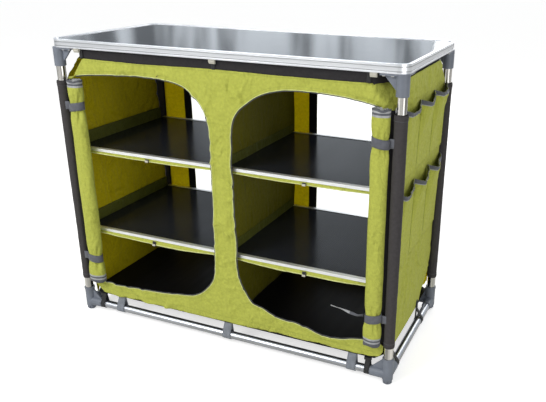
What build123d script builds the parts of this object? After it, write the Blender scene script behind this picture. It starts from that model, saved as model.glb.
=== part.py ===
from build123d import *
import os
from math import sqrt

# Camping cupboard: a rimmed tabletop on four plug-in legs, a ring of base rails with levelling
# feet, and a sewn cabinet of two compartments with two shelves each hung inside the frame.
# Millimetres, +Z up, +X to the right, front towards -Y, origin on the floor under the middle.

os.makedirs("parts", exist_ok=True)

# Driving sizes of the whole cupboard
top_len = 980.0
top_dep = 456.0
height = 808.0
top_corner_r = 28.0
fit_gap = 0.3  # sewn and laid pieces rest this far from what carries them
running_gap = 0.1  # radial play of a tube in its socket and of a thread in its hole

# Table rim: an aluminium channel that holds the board
rim_h = 22.0
rim_wall = 2.0
rim_flange_t = 2.0
rim_top_flange = 7.0
rim_shelf = 9.0
rim_bottom_flange = 16.0
rim_recess = 0.4  # the outer face lies this far back between the two beads
rim_bead = 3.5
rim_line_w = 1.4  # a fine groove beside each bead
rim_line_depth = 1.2
board_t = 4.0
board_ease = 0.3  # boards are this much thinner where a metal channel grips their edge

# Frame tubes
leg_inset = 15.0
leg_d = 24.0
rail_d = 22.0
tube_wall = 1.2
rail_z = 26.0

# Upper corner brackets
bracket_d = 30.0
bracket_drop = 50.0
bracket_plate_t = 5.0
bracket_cap = 6.0
bracket_arm_x = 50.0
bracket_arm_y = 45.0
arm_half_w = 11.0
gusset_len = 43.0
gusset_h = 33.0
web_t = 5.0
screw_d = 4.0
screw_head_d = 8.0
screw_head_h = 2.4

# Lower corner joints
joint_d = 28.0
joint_collar_d = 30.5
joint_collar_h = 5.0
joint_top_z = 73.0
rail_socket_d = 27.0
rail_socket_len = 46.0
rail_stop = 18.0
leg_stop_z = 38.0
joint_bottom_z = 12.0

# Levelling feet
foot_lobes = 8
foot_core_r = 10.0
foot_lobe_r = 2.6
foot_base_r = 9.5
stud_d = 8.0
stud_len = 31.0
stud_seat_z = 3.0
stud_room = 2.0

# Cloth
cloth_t = 1.5
tape_t = 1.2
panel_out = 2.0  # the cloth walls hang this far outside the leg axes
hem_z = 68.0
band_h = 26.0  # dark band between the green walls and the rim
bare_tube_top = 39.0  # leg left bare between a sleeve and its bracket
bare_tube_foot = 34.0  # and between the corner joint and the sleeve
sleeve_top_r = 16.0
sleeve_bottom_r = 14.0
band_lap = 8.0
divider_x = 14.0  # the divider and its pillar hang a little to the right
pillar_w = 66.0
panel_cut_in = 79.0  # the walls' cut corners, measured inwards from the leg axes
corner_in = 40.0
corner_rise = 7.0
hem_cut_in = 50.0
hem_cut_h = 20.0

# Front openings
open_drop = 34.0
open_rise = 38.0
open_top_r = 120.0
open_bottom_r = 100.0
zip_out = 6.0
zip_in = 2.0

# Rolled doors
roll_in = 49.0
roll_forward = 11.0
roll_w = 49.0
roll_depth = 33.0
roll_swell = 2.0
roll_pinch = 7.0
roll_rise = 1.0  # a roll starts and ends this far above its leg's sleeve
tie_w = 22.0
tie_t = 2.0
tie_drop = 66.0
tie_rise = 78.0

# Back windows
window_side = 117.0
window_mid = 76.0
window_drop = 70.0
window_rise = 82.0
window_r = 35.0
binding_w = 26.0

# Side walls lean in towards the hem; their corners are measured inwards from the leg axes
side_lean = 13.0
side_front_in = {"left": 98.0, "right": 48.0}
side_back_in = 98.0
side_cut_in = 28.0
side_cut_drop = 48.0
side_hem_front_in = 41.0
side_hem_back_in = {"left": 41.0, "right": 123.0}  # a wide cut at the right rear, for the strap
side_hem_back_rise = {"left": 39.0, "right": 97.0}

# Shelves
shelf_z = {"upper": 512.0, "lower": 272.0}
shelf_t = 5.0
shelf_front_in = 9.5
shelf_back_in = 10.0
trim_h = 8.0
trim_depth = 12.0
trim_t = 1.5
shelf_play = 3.0
sling_flap = 4.0
sling_sag = {"upper": 5.0, "lower": 10.0}
sling_flap_out = 2.5  # the flap hangs this far in front of the boards
sling_band_h = 30.0
floor_in = 4.5
floor_t = 2.5
floor_front_cut = 46.0
floor_back_cut = 12.0

# Side pockets on the right wall
pocket_count = 3
pocket_depth = 25.0
pocket_foot = 4.0
pocket_face = 0.55  # the flat face's share of a pocket's width
pocket_drops = {"upper": (57.0, 228.0), "lower": (255.0, 460.0)}  # top and bottom of a row
pocket_in = 17.0
pocket_gap = 1.0
pocket_wall = 1.2

# Webbing, straps and hooks
loop_w = 25.0
loop_t = 1.5
loop_left_in = 119.0
loop_middle_x = 8.0
loop_right_in = 97.0
loop_neck_rise = 26.0
loop_rise = 10.0
strap_w = 14.0
strap_in = 54.0
strap_front_in = 55.0
strap_back_in = 131.0
adjuster_h = 8.0
adjuster_t = 2.0
clip_w = 16.0
clip_depth = 7.0
clip_h = 11.0
clip_left_in = 67.0
clip_middle_x = 3.0
clip_right_in = 65.0
elastic_w = 10.0
elastic_len = 25.0
shelf_strap_w = 10.0
hook_w = 9.0
hook_h = 5.0
hook_t = 2.5

# Places worked out from the sizes above
leg_x = top_len / 2 - leg_inset
leg_y = top_dep / 2 - leg_inset
rim_bottom = height - rim_h
board_top = height - rim_flange_t
board_bottom = board_top - board_t
bracket_bottom = rim_bottom - bracket_drop
plate_bottom = rim_bottom - bracket_plate_t
leg_top = rim_bottom - bracket_cap
front_y = leg_y + panel_out
side_x = leg_x + panel_out
half_cloth = cloth_t / 2
foot_h = joint_bottom_z - fit_gap
green_top_z = rim_bottom - band_h
sleeve_top_z = bracket_bottom - bare_tube_top
sleeve_bottom_z = joint_top_z + bare_tube_foot
panel_cut_x = leg_x - panel_cut_in
corner_x = leg_x - corner_in
corner_z = sleeve_top_z + corner_rise
hem_cut_x = leg_x - hem_cut_in
hem_cut_z = hem_z + hem_cut_h
open_top_z = green_top_z - open_drop
open_bottom_z = hem_z + open_rise
roll_x = leg_x - roll_in
roll_y = leg_y + roll_forward
roll_top_z = sleeve_top_z + roll_rise
roll_bottom_z = sleeve_bottom_z + roll_rise
tie_upper_z = roll_top_z - tie_drop
tie_lower_z = roll_bottom_z + tie_rise
window_top_z = green_top_z - window_drop
window_bottom_z = hem_z + window_rise
side_back_y = leg_y - side_back_in
side_cut_y = leg_y - side_cut_in
side_cut_z = green_top_z - side_cut_drop
side_hem_front_y = leg_y - side_hem_front_in
shelf_front_y = leg_y - shelf_front_in
shelf_back_y = leg_y - shelf_back_in
sling_flap_y = shelf_front_y + sling_flap_out
floor_y = leg_y - floor_in
pocket_side_y = leg_y - pocket_in
loop_front_x = (-(leg_x - loop_left_in), loop_middle_x, leg_x - loop_right_in)
loop_neck_z = rail_z + loop_neck_rise
loop_top_z = hem_z + loop_rise
strap_x = leg_x - strap_in
strap_front_y = leg_y - strap_front_in
strap_back_y = leg_y - strap_back_in
clip_x = (-(leg_x - clip_left_in), clip_middle_x, leg_x - clip_right_in)
inner_y = front_y - half_cloth - tape_t - fit_gap  # clear half depth between front and back
shelf_reach = leg_x - sleeve_top_r - fit_gap  # boards stop short of the leg sleeves
shelf_drop = (trim_h - shelf_t) / 2
hem_mid_z = {level: z - shelf_t - shelf_drop - sling_flap - sling_sag[level] for level, z in shelf_z.items()}

corners = {"fl": (-1, -1), "fr": (1, -1), "bl": (-1, 1), "br": (1, 1)}


def save(part, name):
    part.part.label = name
    export_step(part.part, "parts/" + name + ".step")


def wall_x(z):
    """Distance of a leaning side wall's middle from X = 0 at height z."""
    return side_x - side_lean * (green_top_z - z) / (green_top_z - hem_z)


def inner_wall_x(z):
    """Where a piece that meets a side wall from inside ends at height z."""
    return wall_x(z) - half_cloth - fit_gap


def sleeve_r(z):
    """Outer radius of a leg sleeve at height z."""
    share = (z - sleeve_bottom_z) / (sleeve_top_z - sleeve_bottom_z)
    return sleeve_bottom_r + (sleeve_top_r - sleeve_bottom_r) * share


def sleeve_edge_x(z):
    """Where a front or back panel meets the sleeve at height z."""
    return leg_x - sqrt(sleeve_r(z) ** 2 - panel_out**2) - fit_gap


def front_plane(y):
    """Upright plane that faces the front at the given Y: its axes are X and Z."""
    return Plane(origin=(0, y, 0), x_dir=(1, 0, 0), z_dir=(0, -1, 0))


def side_plane(x):
    """Upright plane that faces +X at the given X: its axes are Y and Z."""
    return Plane(origin=(x, 0, 0), x_dir=(0, 1, 0), z_dir=(1, 0, 0))


# Tabletop

def rim_ring(z_low, z_high, width):
    """Flat ring of the table rim, measured inwards from its outer edge."""
    with BuildPart() as ring:
        with BuildSketch(Plane.XY.offset(z_low)):
            RectangleRounded(top_len, top_dep, top_corner_r)
            RectangleRounded(
                top_len - 2 * width, top_dep - 2 * width, top_corner_r - width, mode=Mode.SUBTRACT
            )
        extrude(amount=z_high - z_low)
    return ring.part


def bracket_screw_places():
    places = []
    for sx, sy in corners.values():
        rim_y = sy * (top_dep / 2 - rim_bottom_flange / 2)
        rim_x = sx * (top_len / 2 - rim_bottom_flange / 2)
        places.append((sx * (leg_x - bracket_arm_x * 0.45), rim_y))
        places.append((sx * (leg_x - bracket_arm_x * 0.85), rim_y))
        places.append((rim_x, sy * (leg_y - bracket_arm_y * 0.8)))
    return places


screw_places = bracket_screw_places()

with BuildPart() as table_rim:
    add(rim_ring(rim_bottom, height, rim_wall))
    add(rim_ring(height - rim_flange_t, height, rim_top_flange))
    add(rim_ring(board_bottom - rim_flange_t, board_bottom, rim_shelf))
    add(rim_ring(rim_bottom, rim_bottom + rim_flange_t, rim_bottom_flange))
    with BuildSketch(Plane.XY.offset(rim_bottom + rim_bead)):
        RectangleRounded(top_len, top_dep, top_corner_r)
        RectangleRounded(
            top_len - 2 * rim_recess,
            top_dep - 2 * rim_recess,
            top_corner_r - rim_recess,
            mode=Mode.SUBTRACT,
        )
    extrude(amount=rim_h - 2 * rim_bead, mode=Mode.SUBTRACT)
    for z in (rim_bottom + rim_bead, height - rim_bead - rim_line_w):
        add(rim_ring(z, z + rim_line_w, rim_line_depth), mode=Mode.SUBTRACT)
    fillet(table_rim.edges().group_by(Axis.Z)[-1], radius=rim_flange_t * 0.45)
    with BuildSketch(Plane.XY.offset(rim_bottom)):
        with Locations(*screw_places):
            Circle(screw_d / 2 + running_gap)
    extrude(amount=rim_flange_t, mode=Mode.SUBTRACT)
save(table_rim, "table_rim")

with BuildPart() as tabletop:
    with BuildSketch(Plane.XY.offset(board_bottom)):
        edge = rim_wall + running_gap
        RectangleRounded(top_len - 2 * edge, top_dep - 2 * edge, top_corner_r - edge)
    extrude(amount=board_t - board_ease)
    with BuildSketch(Plane.XY.offset(board_top - board_ease)):
        edge = rim_top_flange + running_gap
        RectangleRounded(top_len - 2 * edge, top_dep - 2 * edge, top_corner_r - edge)
    extrude(amount=board_ease)
save(tabletop, "tabletop")

with BuildPart() as bracket_screws:
    with BuildSketch(Plane.XY.offset(plate_bottom - screw_head_h)):
        with Locations(*screw_places):
            Circle(screw_head_d / 2)
    extrude(amount=screw_head_h)
    fillet(bracket_screws.edges().group_by(Axis.Z)[0], radius=screw_head_h * 0.4)
    with BuildSketch(Plane.XY.offset(plate_bottom)):
        with Locations(*screw_places):
            Circle(screw_d / 2)
    extrude(amount=bracket_plate_t + rim_flange_t)
save(bracket_screws, "bracket_screws")


# Frame

def top_bracket(sx, sy):
    ax = sx * leg_x
    ay = sy * leg_y
    with BuildPart() as bracket:
        with BuildSketch(Plane.XY.offset(bracket_bottom)):
            with Locations((ax, ay)):
                Circle(bracket_d / 2)
        extrude(amount=bracket_drop)
        chamfer(bracket.edges().group_by(Axis.Z)[0], length=1.0)
        with BuildSketch(Plane.XY.offset(plate_bottom)):
            with Locations((ax - sx * bracket_arm_x / 2, ay + sy * panel_out)):
                Rectangle(bracket_arm_x, 2 * arm_half_w)
            with Locations((ax + sx * panel_out, ay - sy * bracket_arm_y / 2)):
                Rectangle(2 * arm_half_w, bracket_arm_y)
        extrude(amount=bracket_plate_t)
        with BuildSketch(front_plane(ay)):
            Polygon(
                (ax, plate_bottom),
                (ax - sx * gusset_len, plate_bottom),
                (ax - sx * (bracket_d / 2 - 1), plate_bottom - gusset_h),
                (ax, plate_bottom - gusset_h),
                align=None,
            )
        extrude(amount=web_t / 2, both=True)
        with BuildSketch(Plane.XY.offset(bracket_bottom)):
            with Locations((ax, ay)):
                Circle(leg_d / 2 + running_gap)
        extrude(amount=bracket_drop - bracket_cap, mode=Mode.SUBTRACT)
        with BuildSketch(Plane.XY.offset(plate_bottom)):
            with Locations(*[p for p in screw_places if p[0] * sx > 0 and p[1] * sy > 0]):
                Circle(screw_d / 2 + running_gap)
        extrude(amount=bracket_plate_t, mode=Mode.SUBTRACT)
    return bracket


def leg_tube(sx, sy):
    with BuildPart() as leg:
        with BuildSketch(Plane.XY.offset(leg_stop_z)):
            with Locations((sx * leg_x, sy * leg_y)):
                Circle(leg_d / 2)
                Circle(leg_d / 2 - tube_wall, mode=Mode.SUBTRACT)
        extrude(amount=leg_top - leg_stop_z)
    return leg


def corner_joint(sx, sy):
    ax = sx * leg_x
    ay = sy * leg_y
    along_x = Plane(origin=(ax, ay, rail_z), z_dir=(-sx, 0, 0))
    along_y = Plane(origin=(ax, ay, rail_z), z_dir=(0, -sy, 0))
    with BuildPart() as joint:
        with BuildSketch(Plane.XY.offset(joint_bottom_z)):
            with Locations((ax, ay)):
                Circle(joint_d / 2)
        extrude(amount=joint_top_z - joint_bottom_z)
        with BuildSketch(Plane.XY.offset(joint_top_z - joint_collar_h)):
            with Locations((ax, ay)):
                Circle(joint_collar_d / 2)
        extrude(amount=joint_collar_h)
        for plane in (along_x, along_y):
            with BuildSketch(plane):
                Circle(rail_socket_d / 2)
            extrude(amount=rail_socket_len)
        with BuildSketch(front_plane(ay)):
            Polygon(
                (ax, joint_top_z - joint_collar_h),
                (ax - sx * (joint_d / 2 - 1), joint_top_z - joint_collar_h),
                (ax - sx * (rail_socket_len - 2), rail_z + rail_socket_d / 2 - 2),
                (ax, rail_z),
                align=None,
            )
        extrude(amount=web_t / 2, both=True)
        for plane in (along_x, along_y):
            with BuildSketch(plane.offset(rail_stop)):
                Circle(rail_d / 2 + running_gap)
            extrude(amount=rail_socket_len - rail_stop, mode=Mode.SUBTRACT)
        with BuildSketch(Plane.XY.offset(leg_stop_z)):
            with Locations((ax, ay)):
                Circle(leg_d / 2 + running_gap)
        extrude(amount=joint_top_z - leg_stop_z, mode=Mode.SUBTRACT)
        with BuildSketch(Plane.XY.offset(joint_bottom_z)):
            with Locations((ax, ay)):
                Circle(stud_d / 2 + running_gap)
        extrude(amount=stud_seat_z + stud_len + stud_room - joint_bottom_z, mode=Mode.SUBTRACT)
    return joint


def foot_knob(sx, sy):
    with BuildPart() as knob:
        with BuildSketch():
            with Locations((sx * leg_x, sy * leg_y)):
                Circle(foot_core_r)
                with PolarLocations(foot_core_r, foot_lobes):
                    Circle(foot_lobe_r)
        extrude(amount=foot_h)
        with Locations((sx * leg_x, sy * leg_y, 0)):
            Cone(
                foot_base_r,
                foot_base_r + foot_h,
                foot_h,
                align=(Align.CENTER, Align.CENTER, Align.MIN),
                mode=Mode.INTERSECT,
            )
        with BuildSketch(Plane.XY.offset(stud_seat_z)):
            with Locations((sx * leg_x, sy * leg_y)):
                Circle(stud_d / 2 + running_gap / 2)
        extrude(amount=foot_h - stud_seat_z, mode=Mode.SUBTRACT)
    return knob


def foot_stud(sx, sy):
    with BuildPart() as stud:
        with BuildSketch(Plane.XY.offset(stud_seat_z)):
            with Locations((sx * leg_x, sy * leg_y)):
                Circle(stud_d / 2)
        extrude(amount=stud_len)
        chamfer(stud.edges().group_by(Axis.Z)[-1], length=1.0)
    return stud


def rail_tube(start, direction, length):
    with BuildPart() as rail:
        with BuildSketch(Plane(origin=start, z_dir=direction)):
            Circle(rail_d / 2)
            Circle(rail_d / 2 - tube_wall, mode=Mode.SUBTRACT)
        extrude(amount=length)
    return rail


def leg_sleeve(sx, sy):
    sleeve_h = sleeve_top_z - sleeve_bottom_z
    with BuildPart() as sleeve:
        with Locations((sx * leg_x, sy * leg_y, sleeve_bottom_z)):
            foot = (Align.CENTER, Align.CENTER, Align.MIN)
            Cone(sleeve_bottom_r, sleeve_top_r, sleeve_h, align=foot)
            Cone(
                sleeve_bottom_r - cloth_t,
                sleeve_top_r - cloth_t,
                sleeve_h,
                align=foot,
                mode=Mode.SUBTRACT,
            )
    return sleeve


for corner, (sx, sy) in corners.items():
    save(top_bracket(sx, sy), "top_bracket_" + corner)
    save(leg_tube(sx, sy), "leg_" + corner)
    save(corner_joint(sx, sy), "corner_joint_" + corner)
    save(foot_knob(sx, sy), "foot_knob_" + corner)
    save(foot_stud(sx, sy), "foot_stud_" + corner)
    save(leg_sleeve(sx, sy), "leg_sleeve_" + corner)

rail_reach_x = leg_x - rail_stop
rail_reach_y = leg_y - rail_stop
for name, sy in {"front": -1, "back": 1}.items():
    rail = rail_tube((-rail_reach_x, sy * leg_y, rail_z), (1, 0, 0), 2 * rail_reach_x)
    save(rail, "rail_" + name)
for name, sx in {"left": -1, "right": 1}.items():
    rail = rail_tube((sx * leg_x, -rail_reach_y, rail_z), (0, 1, 0), 2 * rail_reach_y)
    save(rail, "rail_" + name)


# Cloth walls

def opening_outline(side, grow):
    """One front opening, grown by a margin; side is -1 for the left and 1 for the right one."""
    inner = divider_x + side * (pillar_w / 2 - grow)
    top = open_top_z + grow
    bottom = open_bottom_z - grow
    r_top = open_top_r + grow
    r_bottom = open_bottom_r + grow
    roll_half = (roll_w + roll_swell) / 2 + fit_gap
    outer = side * (roll_x + roll_half)
    step = side * (roll_x - roll_half)
    door_top = roll_top_z + fit_gap
    door_bottom = roll_bottom_z - fit_gap
    slant = 1 - sqrt(0.5)
    with BuildSketch() as opening:
        with BuildLine():
            Line((inner, bottom + r_bottom), (inner, top - r_top))
            ThreePointArc(
                (inner, top - r_top),
                (inner + side * r_top * slant, top - r_top * slant),
                (inner + side * r_top, top),
            )
            Polyline(
                (inner + side * r_top, top),
                (step, top),
                (step, door_top),
                (outer, door_top),
                (outer, door_bottom),
                (step, door_bottom),
                (step, bottom),
                (inner + side * r_bottom, bottom),
            )
            ThreePointArc(
                (inner + side * r_bottom, bottom),
                (inner + side * r_bottom * slant, bottom + r_bottom * slant),
                (inner, bottom + r_bottom),
            )
        make_face()
    return opening.sketch


def wall_outline():
    """Outline of the front and back walls, with cut corners, reaching to the leg sleeves."""
    high_edge = sleeve_edge_x(sleeve_top_z)
    low_edge = sleeve_edge_x(sleeve_bottom_z)
    right = [
        (panel_cut_x, green_top_z),
        (corner_x, corner_z),
        (high_edge, sleeve_top_z - 8),
        (low_edge, sleeve_bottom_z),
        (low_edge, hem_cut_z),
        (hem_cut_x, hem_z),
    ]
    Polygon(*right, *[(-x, z) for x, z in reversed(right)], align=None)


with BuildPart() as front_panel:
    with BuildSketch(front_plane(-front_y)):
        wall_outline()
    extrude(amount=half_cloth, both=True)
    for side in (-1, 1):
        with BuildSketch(front_plane(-front_y)):
            add(opening_outline(side, 0))
        extrude(amount=cloth_t, both=True, mode=Mode.SUBTRACT)
save(front_panel, "front_panel")

tape_end = roll_x - (roll_w + roll_swell) / 2 - 2 * fit_gap
with BuildPart() as door_zip_tape:
    for side in (-1, 1):
        near = divider_x + side * (pillar_w / 2 - 2 * zip_out)
        with BuildSketch(front_plane(-front_y + half_cloth)):
            add(opening_outline(side, zip_out))
            add(opening_outline(side, -zip_in), mode=Mode.SUBTRACT)
            with Locations(((near + side * tape_end) / 2, (open_top_z + open_bottom_z) / 2)):
                Rectangle(abs(side * tape_end - near), open_top_z, mode=Mode.INTERSECT)
        extrude(amount=-tape_t)
save(door_zip_tape, "door_zip_tape")


def window_place(side):
    """Middle and width of one back window; side is -1 for the left and 1 for the right one."""
    outer = side * (wall_x(window_top_z) - half_cloth - window_side)
    inner = divider_x + side * window_mid
    return (outer + inner) / 2, abs(outer - inner)


window_h = window_top_z - window_bottom_z
window_z = (window_top_z + window_bottom_z) / 2

with BuildPart() as back_panel:
    with BuildSketch(front_plane(front_y)):
        wall_outline()
        for side in (-1, 1):
            middle, width = window_place(side)
            with Locations((middle, window_z)):
                RectangleRounded(width, window_h, window_r, mode=Mode.SUBTRACT)
    extrude(amount=half_cloth, both=True)
save(back_panel, "back_panel")

with BuildPart() as window_binding:
    with BuildSketch(front_plane(front_y - half_cloth)):
        for side in (-1, 1):
            middle, width = window_place(side)
            with Locations((middle, window_z)):
                RectangleRounded(
                    width + 2 * binding_w, window_h + 2 * binding_w, window_r + binding_w
                )
        for side in (-1, 1):
            middle, width = window_place(side)
            with Locations((middle, window_z)):
                RectangleRounded(width, window_h, window_r, mode=Mode.SUBTRACT)
    extrude(amount=tape_t)
save(window_binding, "window_binding")


def leaning_plane(side):
    """Plane of a side wall's middle: its axes are Y and the way up the leaning wall."""
    tall = green_top_z - hem_z
    up = Vector(side * side_lean, 0, tall).normalized()
    normal = Vector(0, 1, 0).cross(up)
    return Plane(origin=(side * (side_x - side_lean), 0, hem_z), x_dir=(0, 1, 0), z_dir=normal)


wall_slope = sqrt(1 + (side_lean / (green_top_z - hem_z)) ** 2)
wall_reach = leg_y - sleeve_top_r - fit_gap

for name, side in {"left": -1, "right": 1}.items():
    with BuildPart() as side_panel:
        with BuildSketch(leaning_plane(side)):
            outline = [
                (-side_hem_front_y, hem_z),
                (leg_y - side_hem_back_in[name], hem_z),
                (wall_reach, hem_z + side_hem_back_rise[name]),
                (wall_reach, sleeve_top_z),
                (side_cut_y, side_cut_z),
                (side_back_y, green_top_z),
                (side_front_in[name] - leg_y, green_top_z),
                (-side_cut_y, side_cut_z),
                (-wall_reach, sleeve_top_z),
                (-wall_reach, sleeve_bottom_z),
            ]
            Polygon(*[(y, (z - hem_z) * wall_slope) for y, z in outline], align=None)
        extrude(amount=half_cloth, both=True)
    save(side_panel, "side_panel_" + name)

with BuildPart() as top_band:
    for sy in (-1, 1):
        with BuildSketch(front_plane(sy * (front_y - half_cloth))):
            Polygon(
                (-panel_cut_x, green_top_z - band_lap),
                (panel_cut_x, green_top_z - band_lap),
                (panel_cut_x + elastic_w, rim_bottom),
                (-panel_cut_x - elastic_w, rim_bottom),
                align=None,
            )
        extrude(amount=sy * tape_t)
    for name, sx in {"left": -1, "right": 1}.items():
        band_x = side_x - half_cloth - tape_t - fit_gap
        band_front_y = side_front_in[name] - leg_y
        with BuildSketch(side_plane(sx * band_x)):
            Polygon(
                (band_front_y, green_top_z - band_lap),
                (side_back_y, green_top_z - band_lap),
                (side_back_y, rim_bottom),
                (band_front_y, rim_bottom),
                align=None,
            )
        extrude(amount=sx * tape_t)
save(top_band, "top_band")

with BuildPart() as divider_panel:
    with BuildSketch(side_plane(divider_x)):
        front_corner = [
            (-inner_y, green_top_z - 2 * band_lap),
            (-inner_y, loop_top_z + fit_gap),
            (-inner_y + 2 * loop_t + fit_gap, loop_top_z + fit_gap),
            (-inner_y + 2 * loop_t + fit_gap, hem_z),
        ]
        Polygon(*front_corner, *[(-y, z) for y, z in reversed(front_corner)], align=None)
    extrude(amount=half_cloth, both=True)
save(divider_panel, "divider_panel")

with BuildPart() as floor_panel:
    with BuildSketch(Plane.XY.offset(hem_z - fit_gap - floor_t)):
        Rectangle(2 * inner_wall_x(hem_z), 2 * floor_y)
    extrude(amount=floor_t)
    chamfer(floor_panel.edges().filter_by(Axis.Z).group_by(Axis.Y)[0], length=floor_front_cut)
    chamfer(floor_panel.edges().filter_by(Axis.Z).group_by(Axis.Y)[-1], length=floor_back_cut)
save(floor_panel, "floor_panel")


# Shelves

def compartment(side, z):
    """Left and right ends of the clear width of a compartment at height z."""
    wall = side * inner_wall_x(z)
    divider = divider_x + side * (half_cloth + fit_gap)
    return min(wall, divider), max(wall, divider)


def shelf_sling(side, level):
    """Cloth under a board: a tray with a sagging front hem and a band up the side wall."""
    under = shelf_z[level] - shelf_t - shelf_drop
    low, high = compartment(side, under - cloth_t)
    wall = low if side < 0 else high
    depth = inner_y + sling_flap_y
    mid_y = (inner_y - sling_flap_y) / 2
    with BuildPart() as sling:
        with BuildSketch(Plane.XY.offset(under - cloth_t)):
            with Locations(((low + high) / 2, mid_y)):
                Rectangle(high - low, depth)
        extrude(amount=cloth_t)
        with BuildSketch(front_plane(-sling_flap_y + cloth_t)):
            with BuildLine():
                Polyline((low, under - sling_flap), (low, under), (high, under), (high, under - sling_flap))
                ThreePointArc(
                    (high, under - sling_flap),
                    ((low + high) / 2, hem_mid_z[level]),
                    (low, under - sling_flap),
                )
            make_face()
        extrude(amount=cloth_t)
        with BuildSketch(Plane.XY.offset(under)):
            with Locations((wall - side * half_cloth, mid_y)):
                Rectangle(cloth_t, depth)
        extrude(amount=sling_band_h + trim_h)
        with BuildSketch(Plane.XY.offset(hem_mid_z[level])):
            with Locations((side * (shelf_reach + depth), wall_reach + depth)):
                Rectangle(2 * depth, 2 * depth)
            with Locations((side * (shelf_reach + depth), -wall_reach - depth)):
                Rectangle(2 * depth, 2 * depth)
        extrude(amount=under - hem_mid_z[level] + sling_band_h + trim_h, mode=Mode.SUBTRACT)
    return sling


def shelf_ends(side, z):
    """Left and right ends of a shelf board, clear of the divider and the leg sleeves."""
    outer = side * (shelf_reach - running_gap)
    inner = divider_x + side * (half_cloth + shelf_play)
    return min(outer, inner), max(outer, inner)


def shelf_board(side, z):
    low, high = shelf_ends(side, z)
    grip = trim_depth + running_gap
    with BuildPart() as board:
        for bottom, top, margin in ((z - shelf_t, z - board_ease, trim_t), (z - board_ease, z, grip)):
            front = -shelf_front_y + margin
            back = shelf_back_y - margin
            with BuildSketch(Plane.XY.offset(bottom)):
                with Locations(((low + high) / 2, (front + back) / 2)):
                    Rectangle(high - low, back - front)
            extrude(amount=top - bottom)
    return board


def shelf_trim(side, z, edge_y, inward):
    """Aluminium channel on a board's front or back edge."""
    low, high = shelf_ends(side, z)
    top = z + shelf_drop
    with BuildPart() as trim:
        with BuildSketch(side_plane(low)):
            with Locations((edge_y + inward * trim_depth / 2, top - trim_h / 2)):
                Rectangle(trim_depth, trim_h)
            with Locations((edge_y + inward * (trim_t + trim_depth) / 2, z - shelf_t / 2)):
                Rectangle(trim_depth - trim_t, shelf_t, mode=Mode.SUBTRACT)
        extrude(amount=high - low)
    return trim.part


def shelf_strap(side, level):
    """Short black strap that gathers a sling's hem at its middle."""
    low, high = shelf_ends(side, shelf_z[level])
    under = shelf_z[level] - shelf_t - shelf_drop
    with BuildPart() as strap:
        with BuildSketch(front_plane(-sling_flap_y - fit_gap)):
            with Locations(((low + high) / 2, (under + hem_mid_z[level]) / 2)):
                Rectangle(shelf_strap_w, under - hem_mid_z[level])
        extrude(amount=loop_t)
    return strap.part


sides = {"left": -1, "right": 1}
for level, z in shelf_z.items():
    for name, side in sides.items():
        save(shelf_board(side, z), "shelf_board_" + level + "_" + name)
        save(shelf_sling(side, level), "shelf_sling_" + level + "_" + name)

with BuildPart() as shelf_trims:
    for z in shelf_z.values():
        for side in sides.values():
            add(shelf_trim(side, z, -shelf_front_y, 1))
            add(shelf_trim(side, z, shelf_back_y, -1))
save(shelf_trims, "shelf_trims")

with BuildPart() as shelf_straps:
    for level in shelf_z:
        for side in sides.values():
            add(shelf_strap(side, level))
save(shelf_straps, "shelf_straps")


# Rolled doors

def roll_section(side, z, grow):
    """A rolled door's flattened cross-section at height z, grown by a margin."""
    with BuildSketch(Plane.XY.offset(z)) as section:
        with Locations((side * roll_x, -roll_y)):
            w = roll_w + grow
            d = roll_depth + grow
            RectangleRounded(w, d, d * 0.42)
    return section.sketch


def door_roll(side):
    half = tie_w / 2
    middle = (tie_upper_z + tie_lower_z) / 2
    levels = [
        (roll_bottom_z, -1.0),
        ((roll_bottom_z + tie_lower_z) / 2, 0.0),
        (tie_lower_z - half, -roll_pinch),
        (tie_lower_z + half, -roll_pinch),
        ((tie_lower_z + middle) / 2, roll_swell * 0.6),
        (middle, roll_swell),
        ((tie_upper_z + middle) / 2, roll_swell * 0.6),
        (tie_upper_z - half, -roll_pinch),
        (tie_upper_z + half, -roll_pinch),
        ((roll_top_z + tie_upper_z) / 2, 0.0),
        (roll_top_z, -1.0),
    ]
    with BuildPart() as roll:
        loft([roll_section(side, z, grow) for z, grow in levels], ruled=True)
    return roll


def door_tie(side, z):
    """Strap round a roll's neck with a tab sewn to the leg sleeve."""
    sleeve_half = sqrt(sleeve_r(z + tie_w / 2) ** 2 - (roll_y - leg_y - tie_t / 2) ** 2)
    tab_start = roll_x + (roll_w - roll_pinch) / 2 + fit_gap
    tab_end = leg_x - sleeve_half - fit_gap
    with BuildPart() as tie:
        with BuildSketch(Plane.XY.offset(z - tie_w / 2)):
            add(roll_section(side, 0, -roll_pinch + 2 * fit_gap + 2 * tie_t))
            add(roll_section(side, 0, -roll_pinch + 2 * fit_gap), mode=Mode.SUBTRACT)
            with Locations((side * (tab_start + tab_end) / 2, -roll_y)):
                Rectangle(tab_end - tab_start, tie_t)
        extrude(amount=tie_w)
    return tie.part


for name, side in sides.items():
    save(door_roll(side), "door_roll_" + name)

with BuildPart() as door_ties:
    for side in sides.values():
        for z in (tie_upper_z, tie_lower_z):
            add(door_tie(side, z))
save(door_ties, "door_ties")


# Side pockets

def pocket_body(y_front, width, z_top, z_bottom, inset):
    """A pocket that opens upwards: square front pleat, flat face, then a slant back to the wall."""
    with BuildPart() as body:
        for z, depth in ((z_bottom, pocket_foot), (z_top, pocket_depth)):
            base = wall_x(z) + half_cloth + fit_gap
            with BuildSketch(Plane.XY.offset(z)):
                Polygon(
                    (base, y_front + inset),
                    (base + depth - inset, y_front + inset),
                    (base + (depth - inset) * 0.9, y_front + width * pocket_face),
                    (base + (depth - inset) * 0.12, y_front + width - 3 * inset),
                    (base, y_front + width - 3 * inset),
                    align=None,
                )
        loft(ruled=True)
    return body.part


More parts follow.
